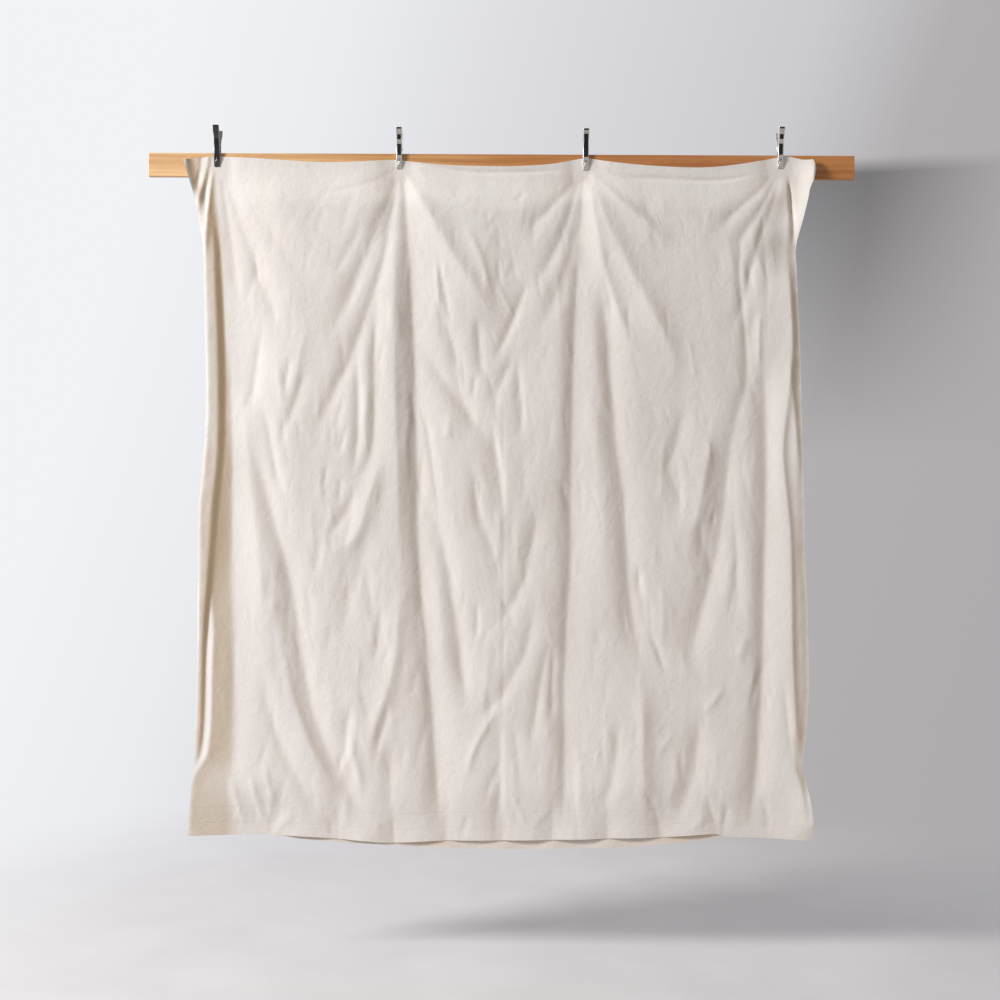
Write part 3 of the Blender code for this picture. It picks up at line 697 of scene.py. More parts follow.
     (0.78, -0.185), (0.73, -0.25)),
    ("second drag left of clamp 4", -4, 22, 20, (0.957, -0.02), (0.907, -0.12), (0.866, -0.19),
     (0.825, -0.25), (0.785, -0.315)),
    ("third drag left of clamp 4", -3.2, 22, 20, (0.96, -0.04), (0.912, -0.20), (0.882, -0.28),
     (0.863, -0.35), (0.85, -0.42), (0.82, -0.50), (0.79, -0.57), (0.765, -0.63)),
    ("sharp line in that drag", -2, 11, 10, (0.868, -0.31), (0.856, -0.36), (0.848, -0.41)),
    ("upright line", -2.4, 12, 9, (0.842, -0.20), (0.823, -0.29), (0.819, -0.38), (0.828, -0.47),
     (0.838, -0.56), (0.843, -0.66), (0.838, -0.74)),
    ("bright upright line", 2.2, 11, 8, (0.892, -0.48), (0.887, -0.60), (0.89, -0.72)),
    ("short crease below clamp 4", -1.6, 7, 6, (0.90, -0.175), (0.90, -0.215), (0.90, -0.255)),
    ("great trough, upper", -3.6, 26, 28, (0.88, -0.42), (0.862, -0.55), (0.85, -0.66), (0.843, -0.76),
     (0.82, -0.84), (0.80, -0.92), (0.785, -1.02)),
    ("great trough, lower", -7.5, 46, 40, (0.81, -0.84), (0.79, -0.98), (0.778, -1.10), (0.768, -1.20),
     (0.752, -1.30), (0.73, -1.40), (0.705, -1.50), (0.68, -1.59), (0.665, -1.68), (0.66, -1.78)),
    ("crest left of the great trough", 3.6, 26, 22, (0.718, -0.88), (0.71, -1.02), (0.70, -1.10),
     (0.685, -1.18), (0.665, -1.26), (0.638, -1.35)),
    ("dark slant", -3.8, 24, 30, (0.638, -0.80), (0.616, -0.91), (0.60, -0.98), (0.575, -1.04),
     (0.54, -1.11)),
    ("soft shade", -2.6, 42, 13, (0.60, -0.99), (0.617, -1.12), (0.612, -1.27)),
    ("line in the right swelling", -3.2, 15, 24, (0.797, -1.12), (0.812, -1.28), (0.818, -1.40),
     (0.815, -1.50), (0.797, -1.62)),
    ("short upright crease", -1.3, 10, 9, (0.472, -1.37), (0.482, -1.44), (0.486, -1.51)),
    ("bright upright line", 1.2, 10, 12, (0.558, -1.42), (0.562, -1.53), (0.562, -1.67)),
    ("short slant", -2.8, 10, 12, (0.51, -1.59), (0.543, -1.665), (0.582, -1.76)),
    ("crest to the hem", 5.5, 32, 32, (0.487, -1.72), (0.494, -1.88), (0.496, -2.04), (0.50, -2.18),
     (0.506, -2.31)),
    ("trough to the hem", -6.5, 36, 36, (0.69, -1.86), (0.682, -1.99), (0.67, -2.08), (0.646, -2.17),
     (0.62, -2.24), (0.60, -2.32)),
    ("left trough to the hem", -3.8, 30, 25, (0.412, -1.88), (0.406, -2.02), (0.39, -2.12), (0.36, -2.19),
     (0.32, -2.26)),
    ("crease at the mouth's end", -2.8, 14, 10, (0.712, -2.15), (0.735, -2.23), (0.76, -2.295)),
    ("second crease there", -2.6, 9, 12, (0.787, -2.18), (0.783, -2.24), (0.768, -2.30)),
    ("bright crest there", 2.6, 14, 10, (0.725, -2.225), (0.69, -2.265), (0.65, -2.285)),
    ("thin slant, low", 1.6, 8, 8, (0.54, -2.035), (0.568, -1.995), (0.60, -1.955)),
    ("short crest, low", 2.2, 10, 9, (0.695, -1.885), (0.735, -1.845), (0.778, -1.78)),
    ("pucker at the hem", -2.4, 9, 9, (0.545, -2.24), (0.553, -2.28), (0.566, -2.315)),
    ("crease in the right foot", -2, 12, 14, (0.905, -2.16), (0.925, -2.23), (0.93, -2.31)),
    # The faces beside both edges.
    ("trough left of the right face", -9.5, 36, 44, (0.902, -0.62), (0.914, -0.86), (0.918, -1.05),
     (0.915, -1.22), (0.911, -1.38), (0.91, -1.52), (0.906, -1.70), (0.901, -1.85), (0.895, -2.00),
     (0.885, -2.12), (0.872, -2.22), (0.86, -2.32)),
    ("crest of the right face", 7, 38, 14, (0.975, -0.24), (0.992, -0.45), (0.999, -0.63), (0.986, -0.80),
     (0.969, -0.98), (0.984, -1.15), (0.998, -1.32), (1.005, -1.67), (1.017, -1.91), (1.035, -2.12),
     (1.050, -2.26)),
    ("second crest of the right face", 3.5, 16, 10, (0.984, -0.62), (1.004, -0.80), (1.019, -0.95),
     (1.032, -1.12)),
    ("dark line in the right face, low", -2.4, 12, 9, (0.978, -1.76), (0.992, -1.90), (1.003, -2.00),
     (1.018, -2.09)),
)

# The same, for the front layer alone: the seam rolls forward between the clamps, and the centre line of the
# packing is pressed in.
FRONT_ONLY = (
    ("rolled seam, middle", -5.5, 5, 7, (-0.330, 0.008), (-0.254, 0.000), (-0.133, -0.021),
     (-0.012, -0.025), (0.109, -0.022), (0.206, -0.015), (0.270, 0.003)),
    ("rolled seam, right", -6.5, 5, 7, (0.309, -0.004), (0.368, -0.016), (0.441, -0.039), (0.562, -0.044),
     (0.683, -0.049), (0.779, -0.046), (0.852, -0.033), (0.930, -0.017)),
    ("pressed centre line", -0.7, 4, 6, (0.010, -0.760), (0.011, -1.100), (0.014, -1.500), (0.012, -1.900),
     (0.012, -2.329)),
)

# Where the left side turns forward: height, x, and how far it comes from there to its edge, in millimetres.
TURN = (
    (-0.02, -0.986, 2), (-0.12, -0.983, 6), (-0.20, -0.977, 9), (-0.33, -0.966, 13), (-0.64, -0.950, 17),
    (-0.986, -0.946, 18), (-1.15, -0.960, 17), (-1.33, -0.975, 15), (-1.55, -0.998, 13), (-1.68, -1.008, 10),
    (-1.92, -1.0126, 8), (-2.03, -1.024, 4), (-2.10, -1.045, 0), (-2.31, -1.060, 0),
)
# The gentler slope right of that turn: height, the x that it starts from, and how far it comes forward.
INNER_TURN = (
    (-0.60, -0.932, 0), (-0.986, -0.920, 6), (-1.15, -0.917, 11), (-1.33, -0.912, 17), (-1.68, -0.900, 22),
    (-1.92, -0.897, 25), (-2.05, -0.893, 28), (-2.16, -0.890, 30), (-2.31, -0.890, 23),
)
# Low on the left the slope ends in a crest this wide, with a dip beside it. The right side comes forward as a
# whole, and lies flat this far in from its edge.
LOW_CREST, LOW_DIP = 0.024, 0.0045
RIGHT_FORWARD, RIGHT_FLAT = 0.022, 0.02

# The same as the creases above for what turns both layers together, at the corners and down the side seams.
SIDE_CREASES = (
    ("left corner, forward", 16, 20, 26, (-1.10, 0.09), (-1.088, -0.01), (-1.075, -0.07), (-1.060, -0.14)),
    ("valley in the left corner", -5, 10, 12, (-1.030, 0.07), (-1.040, -0.02), (-1.055, -0.095)),
    ("crest left of clamp 1", 5, 16, 12, (-1.006, 0.07), (-1.018, -0.03), (-1.040, -0.110), (-1.045, -0.19)),
    ("trough beside the crest", -5, 12, 10, (-1.010, -0.02), (-1.020, -0.08), (-1.022, -0.16)),
    ("thin folded edge", 4, 9, 8, (-0.996, -0.02), (-1.004, -0.090), (-1.010, -0.154), (-1.016, -0.247),
     (-1.021, -0.340)),
    ("right corner, forward", 28, 60, 18, (1.085, 0.09), (1.070, -0.06), (1.045, -0.17), (1.020, -0.30)),
    ("gap beside the right corner", -8, 7, 7, (0.988, 0.020), (0.999, -0.13), (1.008, -0.234),
     (1.014, -0.300)),
    ("right seam edge, foot", 8, 40, 22, (1.058, -2.12), (1.075, -2.22), (1.085, -2.32)),
    ("waist of the right edge", -3, 12, 10, (1.020, -1.93), (1.028, -2.05), (1.040, -2.14)),
    ("shaded hollow by the right foot", -2, 13, 11, (1.050, -2.13), (1.064, -2.20), (1.068, -2.28)),
)


def smooth(share):
    """0 below 0 and 1 above 1, with a soft run between."""
    share = np.clip(share, 0, 1)
    return share * share * (3 - 2 * share)


def flowing(points, steps):
    """A smooth line through these points, with this many steps between each two."""
    points = np.array(points, float)
    before = np.vstack([2 * points[0] - points[1], points[:-1]])
    after = np.vstack([points[1:], 2 * points[-1] - points[-2]])
    slopes = (after - before) / 2
    share = np.arange(steps)[:, None] / steps
    runs = []
    for start, end, leave, arrive in zip(points, points[1:], slopes, slopes[1:]):
        keep = (1 + 2 * share) * (1 - share) ** 2
        bend = leave * share * (1 - share) ** 2
        runs.append(start * keep + end * (1 - keep) + bend + arrive * share**2 * (share - 1))
    return np.vstack([*runs, points[-1:]])


def along(table, at):
    """The table's second column at these values of its first, read from a smooth line."""
    line = flowing(sorted(table), 8)
    return np.interp(at, line[:, 0], line[:, 1])


def from_clamps(x, z):
    """The distance to the nearest clamp's jaws."""
    return np.minimum.reduce([np.hypot(x - middle, z - JAW_MIDDLE) for _, middle, _, _ in CLAMPS])


# All creases are this much fuller than their rows say. At a clamp a crease has this share of its width and
# height, and about this far off it has all of them. A free end fades out over this share of the crease's
# length, or over this far if that is less.
CREASE_GAIN, CREASE_START, CREASE_GROWN = 1.45, 0.30, 0.28
FADE_SHARE, FADE_MOST = 0.33, 0.22


def crease(x, z, height, left, right, *path):
    """How far one crease lifts the cloth forward, from its row in a table of creases."""
    line = flowing(path, 5)

    # Past 3.2 times its half width, nothing of it is left.
    reach = 0.0032 * max(left, right)
    low, high = line.min(axis=0) - reach, line.max(axis=0) + reach
    near = (x > low[0]) & (x < high[0]) & (z > low[1]) & (z < high[1])
    lift = np.zeros(x.shape)
    if not near.any():
        return lift

    # How far each place is from the line, on which side of it, and how far along it.
    at_x, at_z = x[near], z[near]
    nearest = np.full(at_x.shape, np.inf)
    aside = np.zeros(at_x.shape)
    passed = np.zeros(at_x.shape)
    gone = 0
    for start, end in zip(line, line[1:]):
        run = end - start
        length = math.hypot(*run)
        part = np.clip(((at_x - start[0]) * run[0] + (at_z - start[1]) * run[1]) / length**2, 0, 1)
        off_x = at_x - start[0] - part * run[0]
        off_z = at_z - start[1] - part * run[1]
        away = np.hypot(off_x, off_z)
        closer = away < nearest
        nearest[closer] = away[closer]
        aside[closer] = (off_z * run[0] - off_x * run[1])[closer]
        passed[closer] = gone + part[closer] * length
        gone += length

    # The cross-section: a rounded top, and flanks that run out softly.
    grown = np.clip(CREASE_START + 0.9 * from_clamps(at_x, at_z) / CREASE_GROWN, CREASE_START, 1)
    width = np.where(aside < 0, left, right) / 1000 * grown
    soft = 0.0012
    away = (np.hypot(nearest, soft) - soft) / width
    fade = min(FADE_SHARE * gone, FADE_MOST)
    start = 1 if from_clamps(*line[0]) < 0.10 else smooth(passed / fade)
    end = smooth((gone - passed) / fade)
    lift[near] = CREASE_GAIN * height / 1000 * grown * start * end * np.exp(-(away**1.4))
    return lift


def creases(x, z, table):
    """How far all the creases of a table lift the cloth forward."""
    return sum(crease(x, z, *row[1:]) for row in table)


# The field of random dents starts at this place, left and low, and is this wide and tall.
FIELD_LEFT, FIELD_FOOT, FIELD_WIDTH, FIELD_HEIGHT = -1.3, -2.5, 2.6, 2.8


def uneven(x, z, wide, tall, seed):
    """Soft random dents of about this width and height, from -1 to 1."""
    draws = np.random.default_rng(seed)
    columns, rows = int(FIELD_WIDTH / wide) + 3, int(FIELD_HEIGHT / tall) + 3
    lattice = draws.uniform(-1, 1, (rows, columns))
    across, upward = (x - FIELD_LEFT) / wide, (z - FIELD_FOOT) / tall
    column, row = np.floor(across).astype(int), np.floor(upward).astype(int)
    right, up = smooth(across - column), smooth(upward - row)
    lower = lattice[row, column] * (1 - right) + lattice[row, column + 1] * right
    upper = lattice[row + 1, column] * (1 - right) + lattice[row + 1, column + 1] * right
    return lower * (1 - up) + upper * up


# Dents: how deep, how wide and how tall, and the seed of their draws. The seams' ones are puckers, where the
# thread has drawn the cloth in, and reach this far from the edge.
FRONT_DENTS = ((0.0038, 0.17, 0.42, 11), (0.0009, 0.06, 0.16, 12), (0.0003, 0.024, 0.06, 13))
BACK_DENTS = ((0.0034, 0.16, 0.5, 21), (0.0009, 0.06, 0.2, 22))
SEAM_DENTS = ((0.0011, 0.5, 0.022, 31), (0.0007, 0.5, 0.011, 32))
SEAM_REACH = 0.016


def dents(x, z, table):
    """How far all the dents of a table lift the cloth forward."""
    return sum(depth * uneven(x, z, wide, tall, seed) for depth, wide, tall, seed in table)


# The cloth's own weight, a clamp's pull beside it, and how far off that pull has fallen to about a third.
WEIGHT, PULL, PULL_REACH = 0.35, 2.0, 0.42


def drag_direction(x, z):
    """The way the cloth is pulled at a place: away from the clamps near them, and straight down lower on."""
    pull_x, pull_z = 0.0, -WEIGHT
    for _, middle, _, _ in CLAMPS:
        off_x, off_z = x - middle, z - 0.02
        away = math.hypot(off_x, off_z) + 1e-6
        strength = math.exp(-away / PULL_REACH)
        pull_x += PULL * strength * off_x / away
        pull_z += PULL * strength * off_z / away
    return math.atan2(pull_x, -pull_z)


# Scattered creases: how many, half their length, half their width in millimetres, their steepness, and how
# far they stray from the pull.
SCATTERED = (
    (430, (0.020, 0.085), (4.0, 7.0), (0.05, 0.15), 0.30),
    (130, (0.045, 0.140), (9.0, 18.0), (0.05, 0.13), 0.16),
)

# Between which x they lie, how high the highest one is, and how far down from it they go. They are shallower
# near the top.
SCATTER_X, SCATTER_TOP, SCATTER_DROP = (-0.93, 0.95), -0.08, 2.16


def small_creases(x, z, seed):
    """Short shallow creases scattered along the local pull, as washing and packing leave them."""
    draws = np.random.default_rng(seed)
    lift = np.zeros(x.shape)
    for count, lengths, widths, steepness, stray in SCATTERED:
        for _ in range(count):
            at_x, at_z = draws.uniform(*SCATTER_X), SCATTER_TOP - SCATTER_DROP * draws.uniform() ** 0.92
            lean = drag_direction(at_x, at_z) + draws.normal(0, stray)
            half = draws.uniform(*lengths)
            bow = draws.uniform(-0.12, 0.12) * half
            width = draws.uniform(*widths)
            height = width * draws.uniform(*steepness) * draws.choice((-1, -1, 1))
            height = height * min(1, 0.35 - at_z / 0.5)
            step = np.array((math.sin(lean), -math.cos(lean)))
            turned = np.array((step[1], -step[0]))
            middle = np.array((at_x, at_z))
            path = (middle - half * step, middle + bow * turned, middle + half * step)
            lift += crease(x, z, height, width, width, *path)
    return lift


# A layer's grid: how many columns and rows, and how many of them lie in this share at each side and at the
# top, where they are closer. Its hidden face keeps all of them where the cloth bends sharply, under the clamps
# and at the edges, and every few of them elsewhere. TOP_MEAN is the top edge's mean height.
COLUMNS, EDGE_COLUMNS, EDGE_SHARE = 404, 36, 0.075
ROWS, TOP_ROWS, TOP_SHARE = 214, 34, 0.085
RIGHT_START = COLUMNS - EDGE_COLUMNS
KEPT_COLUMNS = (*range(EDGE_COLUMNS), *range(EDGE_COLUMNS, RIGHT_START, 5), *range(RIGHT_START, COLUMNS + 1))
KEPT_ROWS = (*range(30), *range(30, 50, 2), *range(50, 176, 7), *range(176, ROWS, 2), ROWS)
KEPT = np.ix_(KEPT_ROWS, KEPT_COLUMNS)
TOP_MEAN = 0.0235


def outline(foot):
    """x, z and the flat place of each point of a layer with this foot, row by row."""
    edge = EDGE_SHARE * np.arange(EDGE_COLUMNS) / EDGE_COLUMNS
    middle = np.linspace(EDGE_SHARE, 1 - EDGE_SHARE, COLUMNS - 2 * EDGE_COLUMNS + 1)
    across = np.concatenate([edge, middle, 1 - edge[::-1]])[None, :]
    lower = np.linspace(TOP_SHARE, 1, ROWS - TOP_ROWS + 1)
    down = np.concatenate([TOP_SHARE * np.arange(TOP_ROWS) / TOP_ROWS, lower])[:, None]
    height = TOP_MEAN - FLAT_LENGTH * down
    left, right = along(LEFT_EDGE, height), along(RIGHT_EDGE, height)
    x = left + (right - left) * across
    top = along(TOP_EDGE, x)
    z = top + (along(foot, x) - top) * down
    flat_x, flat_z = across * FLAT_WIDTH, (1 - down) * FLAT_LENGTH
    return x, z, np.broadcast_to(flat_x, x.shape), np.broadcast_to(flat_z, x.shape)


def from_edges(x, z):
    """How far in from the nearer side edge."""
    return np.minimum(x - along(LEFT_EDGE, z), along(RIGHT_EDGE, z) - x)


def nipped(x, z):
    """1 where a clamp holds the cloth flat, 0 a little way off."""
    held = np.zeros(x.shape)
    depth = along(TOP_EDGE, x) - z
    down = 1 - smooth((depth - NIP_DEPTH) / (NIP_FADE - NIP_DEPTH))
    for _, middle, _, _ in CLAMPS:
        across = 1 - smooth((np.abs(x - middle) - NIP_HALF) / (NIP_FADE - NIP_HALF))
        held = np.maximum(held, across * down)
    return held


def band(z, top, top_fade, foot, foot_fade):
    """1 between two heights and 0 past them, with a soft run at each."""
    return smooth((top - z) / top_fade) * smooth((z - foot) / foot_fade)


def sides_forward(x, z):
    """How far both layers come forward together down the sides."""
    edge, turn = along(LEFT_EDGE, z), along([row[:2] for row in TURN], z)
    foot = along([row[:2] for row in INNER_TURN], z)
    first = np.maximum(along([row[::2] for row in TURN], z), 0) / 1000
    second = np.maximum(along([row[::2] for row in INNER_TURN], z), 0) / 1000

    # The gentler slope: a rounded start, a straight run, and the crest and dip low down.
    low = band(z, -1.45, 0.20, -2.14, 0.12)
    crest = turn + LOW_CREST * low
    slope = np.clip((foot - x) / np.maximum(foot - crest, 0.01), 0, 1)
    slope = np.where(slope < 0.3, slope**2 / 0.6, slope - 0.15) / 0.85
    dip = LOW_DIP * low * smooth((crest - x) / 0.022)

    # The turn: most of its rise in its first part, and a small roll back at the very edge.
    across = np.clip((turn - x) / (turn - edge), 0, 1)
    roll = 0.16 * smooth((across - 0.86) / 0.14)
    rise = 0.62 * smooth(across / 0.42) + 0.38 * np.clip(across / 0.86, 0, 1) - roll

    # The right side.
    right = along(RIGHT_EDGE, z) - x
    down = band(z, -0.26, 0.20, -2.45, 0.25)
    near = 1 - smooth((right - RIGHT_FLAT) / 0.15)
    return first * rise + second * slope - dip + RIGHT_FORWARD * down * near


def under_jaws(x, z, reach):
    """1 where the cloth lies under a clamp's jaw, 0 from this far off to each side."""
    held = np.zeros(x.shape)
    down = 1 - smooth((along(TOP_EDGE, x) - z - NIP_DEPTH) / (1.5 * reach))
    for _, middle, _, _ in CLAMPS:
        held = np.maximum(held, down * (1 - smooth((np.abs(x - middle) - NIP_HALF) / reach)))
    return held


def between(x, stops):
    """A half wave from each stop to the next: 0 at the stops and 1 halfway."""
    wave = np.zeros(x.shape)
    for start, end in zip(stops, stops[1:]):
        wave = np.maximum(wave, np.sin(math.pi * np.clip((x - start) / (end - start), 0, 1)))
    return wave


def parted(x, z, foot):
    """0 where the two layers are sewn or fastened together, 1 where they hang apart."""
    top = (along(TOP_EDGE, x) - z - PART_TOP[0]) / (PART_TOP[1] - PART_TOP[0])
    hem = GAPE * between(x, (MOUTH[0], *FASTENED, MOUTH[1]))
    up = smooth((z - along(foot, x)) / PART_FOOT)
    corner = smooth((np.abs(x) - LOOSE_CORNER[0]) / 0.02) * smooth((z - LOOSE_CORNER[1]) / 0.12)
    left, right = x - along([row[:2] for row in TURN], z), along(RIGHT_EDGE, z) - x
    closed = (1 - RIGHT_SHARE) * smooth(right / PART_RIGHT[0])
    closed = closed + RIGHT_SHARE * smooth((right - RIGHT_FLAT) / PART_RIGHT[1])
    side = smooth(left / PART_LEFT) * closed * (1 - corner)
    return side * smooth(top) * (hem + (1 - hem) * up) * (1 - nipped(x, z))


def seam_height(x, z):
    """Where the seams would hang: the y halfway between the two layers where they meet."""
    bulge = TOP_BULGE * between(x, [middle for _, middle, _, _ in CLAMPS])
    bulge = bulge * (1 - smooth((along(TOP_EDGE, x) - z) / TOP_BULGE_DEPTH))
    free = FREE_Y - bulge
    return free + (NIPPED_Y - free) * under_jaws(x, z, 0.075)


def crinkled_seam(x, z):
    """Small puckers along the side seams."""
    return np.exp(-((from_edges(x, z) / SEAM_REACH) ** 2)) * dents(x, z, SEAM_DENTS)


def front_layer(x, z):
    """y of the front layer's outer face."""
    apart = parted(x, z, FRONT_FOOT)
    free = 1 - under_jaws(x, z, 0.010)
    turned = creases(x, z, SIDE_CREASES) + sides_forward(x, z) + crinkled_seam(x, z)
    face = creases(x, z, FRONT_CREASES + FRONT_ONLY) + small_creases(x, z, 5)
    face += dents(x, z, FRONT_DENTS)
    foot = 1 - smooth((z - along(FRONT_FOOT, x)) / 0.006)
    stand = (FRONT_STAND + POCKET_HALF) * apart
    flat = seam_height(x, z) - SEAM_PITCH / 2 - CLOTH / 2 - stand
    y = flat - free * (turned + face * (0.65 + 0.35 * apart)) + 0.0006 * foot
    return keep_in(y, z, 2 * CLOTH + 2 * GAP)


def keep_in(y, z, under):
    """Eases y to a stop at the fullest fold in front and, behind, this far from the rail or its back plane."""
    eased = NEAREST + EASE_FRONT * np.exp((y - NEAREST - EASE_FRONT) / EASE_FRONT)
    y = np.where(y < NEAREST + EASE_FRONT, eased, y)
    by_rail = smooth((z - RAIL_FOOT) / 0.03)
    limit = BELOW_RAIL + (RAIL_FRONT - BELOW_RAIL) * by_rail - under
    eased = limit - EASE_BACK * np.exp(-(y - limit + EASE_BACK) / EASE_BACK)
    return np.where(y > limit - EASE_BACK, eased, y)


# The front's creases show in the back layer at this share of their height.
BACK_SHARE = 0.45


def back_layer(x, z):
    """y of the back layer's outer face, which looks at the wall."""
    apart = parted(x, z, BACK_FOOT)
    free = 1 - under_jaws(x, z, 0.010)
    face = BACK_SHARE * creases(x, z, FRONT_CREASES) + small_creases(x, z, 17)
    face += dents(x, z, BACK_DENTS)
    turned = creases(x, z, SIDE_CREASES) + sides_forward(x, z) + crinkled_seam(x, z)
    stand = (BACK_STAND + POCKET_HALF) * apart
    flat = seam_height(x, z) + SEAM_PITCH / 2 + CLOTH / 2 + stand
    y = flat - free * (turned * (1 - 0.6 * apart) + face * apart)
    inner = front_layer(x, z) + SEAM_PITCH + CLOTH + 0.001 * apart
    return np.minimum(np.maximum(y, inner), keep_in(np.full(y.shape, 1.0), z, GAP))


def spread(values, rows, columns):
    """The largest value within this many rows and columns of each place."""
    padded = np.pad(values, ((rows, rows), (columns, columns)), mode="edge")
    found = values.copy()
    for row in range(2 * rows + 1):
        for column in range(2 * columns + 1):
            found = np.maximum(found, padded[row:row + values.shape[0], column:column + values.shape[1]])
    return found


def stretched(coarse):
    """Values known on the kept rows and columns, filled in evenly for the whole layer."""
    rows, columns = np.arange(ROWS + 1), np.arange(COLUMNS + 1)
    down = np.array([np.interp(rows, KEPT_ROWS, line) for line in np.eye(len(KEPT_ROWS))]).T
    across = np.array([np.interp(columns, KEPT_COLUMNS, line) for line in np.eye(len(KEPT_COLUMNS))]).T
    return down @ coarse @ across.T


def lining_face(outer):
    """A layer's hidden face on the kept rows and columns, as near behind the outer face as it can lie."""
    coarse = outer[KEPT].copy()
    for _ in range(3):
        short = outer - stretched(coarse)
        coarse += np.maximum(spread(short, 4, 3)[KEPT], 0) * 0.999
    return coarse


def mean_near(values, rows, columns):
    """Each place's mean over a window, twice, which is close to a soft blur."""
    for _ in range(2):
        for axis, reach in ((0, rows), (1, columns)):
            width = [(0, 0), (0, 0)]
            width[axis] = (reach + 1, reach)
            total = np.cumsum(np.pad(values, width, mode="edge"), axis=axis)
            count = 2 * reach + 1
            ends = np.take(total, range(count, total.shape[axis]), axis=axis)
            values = (ends - np.take(total, range(0, total.shape[axis] - count), axis=axis)) / count
    return values


def hidden_face(x, y, z, side):
    """y of a layer's outer and hidden faces. The back layer moves back where it would cut the front one."""
    if side < 0:
        return y, lining_face(y) + CLOTH
    ahead = lining_face(front_layer(x, z)) + CLOTH + 2 * GAP
    for _ in range(2):
        short = np.maximum(ahead + lining_face(-y) + CLOTH, 0)
        y = np.minimum(y + stretched(short), keep_in(np.full(y.shape, 1.0), z, GAP))
    return y, -lining_face(-y) - CLOTH


def sheet_faces(shape, side):
    """The faces of a closed sheet: quads front and back, and a rim with one polygon for each kept step."""
    fine = np.arange(shape[0] * shape[1]).reshape(shape)
    coarse = fine.size + np.arange(fine[KEPT].size).reshape(fine[KEPT].shape)
    faces = []
    for grid, out in ((fine, True), (coarse, False)):
        quads = np.stack([grid[:-1, :-1], grid[1:, :-1], grid[1:, 1:], grid[:-1, 1:]], axis=-1).reshape(-1, 4)
        faces += (quads if out == (side < 0) else quads[:, ::-1]).tolist()
    borders = (
        (fine[0], coarse[0], KEPT_COLUMNS, True), (fine[-1], coarse[-1], KEPT_COLUMNS, False),
        (fine[:, 0], coarse[:, 0], KEPT_ROWS, False), (fine[:, -1], coarse[:, -1], KEPT_ROWS, True),
    )
    for border, hidden, kept, turned in borders:
        for number, (start, end) in enumerate(zip(kept, kept[1:])):
            rim = [*border[start:end + 1][::-1], hidden[number], hidden[number + 1]]
            faces.append([int(point) for point in (rim[::-1] if turned == (side < 0) else rim)])
    return faces


# Where the side strips start that turn away from the light and take more painted shade.
LEFT_STRIP, RIGHT_STRIP = -0.87, 0.97


def painted_shade_share(x, y, z, side):
    """How much warm painted shade each point of both faces takes, from 0 to 1.

    The shade is painted in the hollows, more so on slopes that turn away to the right from the key lamp at the
    left, and fully inside the mouth, where the gap between the hems lies in shadow.
    """
    forward = -y if side < 0 else y
    # Painted shade: first the hollows, then the slopes that face right, away from the key lamp.
    hollow = np.clip((mean_near(forward, 5, 7) - forward) / 0.010, 0, 1) ** 1.4
    turned = mean_near(-np.gradient(forward, axis=1) / np.gradient(x, axis=1), 1, 1)
    share = 0.30 + 0.70 * smooth((LEFT_STRIP - x) / 0.05) + 0.30 * smooth((x - RIGHT_STRIP) / 0.04)
    inside = smooth((x - along(LEFT_EDGE, z)) / 0.010) * smooth((along(RIGHT_EDGE, z) - x) / 0.006)
    hollow = np.maximum(0.25 * hollow, inside * share * np.clip(turned / 0.32, 0, 1))
    mouth = smooth((x - MOUTH[0] - 0.01) / 0.02) * smooth((MOUTH[1] - x - 0.01) / 0.02)
    within = 0.25 + 0.75 * mouth * smooth((z - along(FRONT_FOOT, x) + 0.004) / 0.006)
    hidden = (hollow if side < 0 else inside * within)[KEPT]
    return np.concatenate([hollow.ravel(), hidden.ravel()])


def cotton_sheet(name, foot, layer, side, finish):
    """One layer as a closed sheet: a fine outer face, a coarser hidden face, and a cut edge."""
    x, z, flat_x, flat_z = outline(foot)
    y, hidden = hidden_face(x, layer(x, z), z, side)
    outer = np.stack([x, y, z], axis=-1).reshape(-1, 3)
    inner = np.stack([x[KEPT], hidden, z[KEPT]], axis=-1).reshape(-1, 3)
    flat = np.stack([flat_x, flat_z], axis=-1)
    flat = np.vstack([flat.reshape(-1, 2), flat[KEPT].reshape(-1, 2)])

    mesh = bpy.data.meshes.new(name)
    mesh.from_pydata(np.vstack([outer, inner]).tolist(), [], sheet_faces(x.shape, side))
    mesh.validate()
    ends = np.empty(len(mesh.loops), np.int32)
    mesh.loops.foreach_get("vertex_index", ends)
    mesh.uv_layers.new(name="cloth").data.foreach_set("uv", flat[ends].astype(np.float32).ravel())
    # The "hollow" attribute holds each point's share of painted shade.
    painted_shade_attribute = mesh.attributes.new("hollow", "FLOAT", "POINT")
    painted_shade_attribute.data.foreach_set("value", painted_shade_share(x, y, z, side).astype(np.float32))
    mesh.materials.append(finish)
    mesh.shade_smooth()
    mesh.set_sharp_from_angle(angle=math.radians(65))
    piece = bpy.data.objects.new(name, mesh)
    bpy.context.scene.collection.objects.link(piece)
    return piece


def hem_stitches(tree, flat):
    """Two rows of stitching round the foot, each a groove at its height above the flat foot."""
    height = node(tree, "SeparateXYZ", {"Vector": flat}).outputs["Y"]
    grooves = []
    for sewn in (0.043, 0.097):
        off = figure(tree, "SUBTRACT", height, sewn)
        near = node(tree, "Math", {0: off}, operation="ABSOLUTE").outputs["Value"]
        grooves.append(ranged(tree, near, 0.0008, 0.0030))
    return figure(tree, "MINIMUM", *grooves)


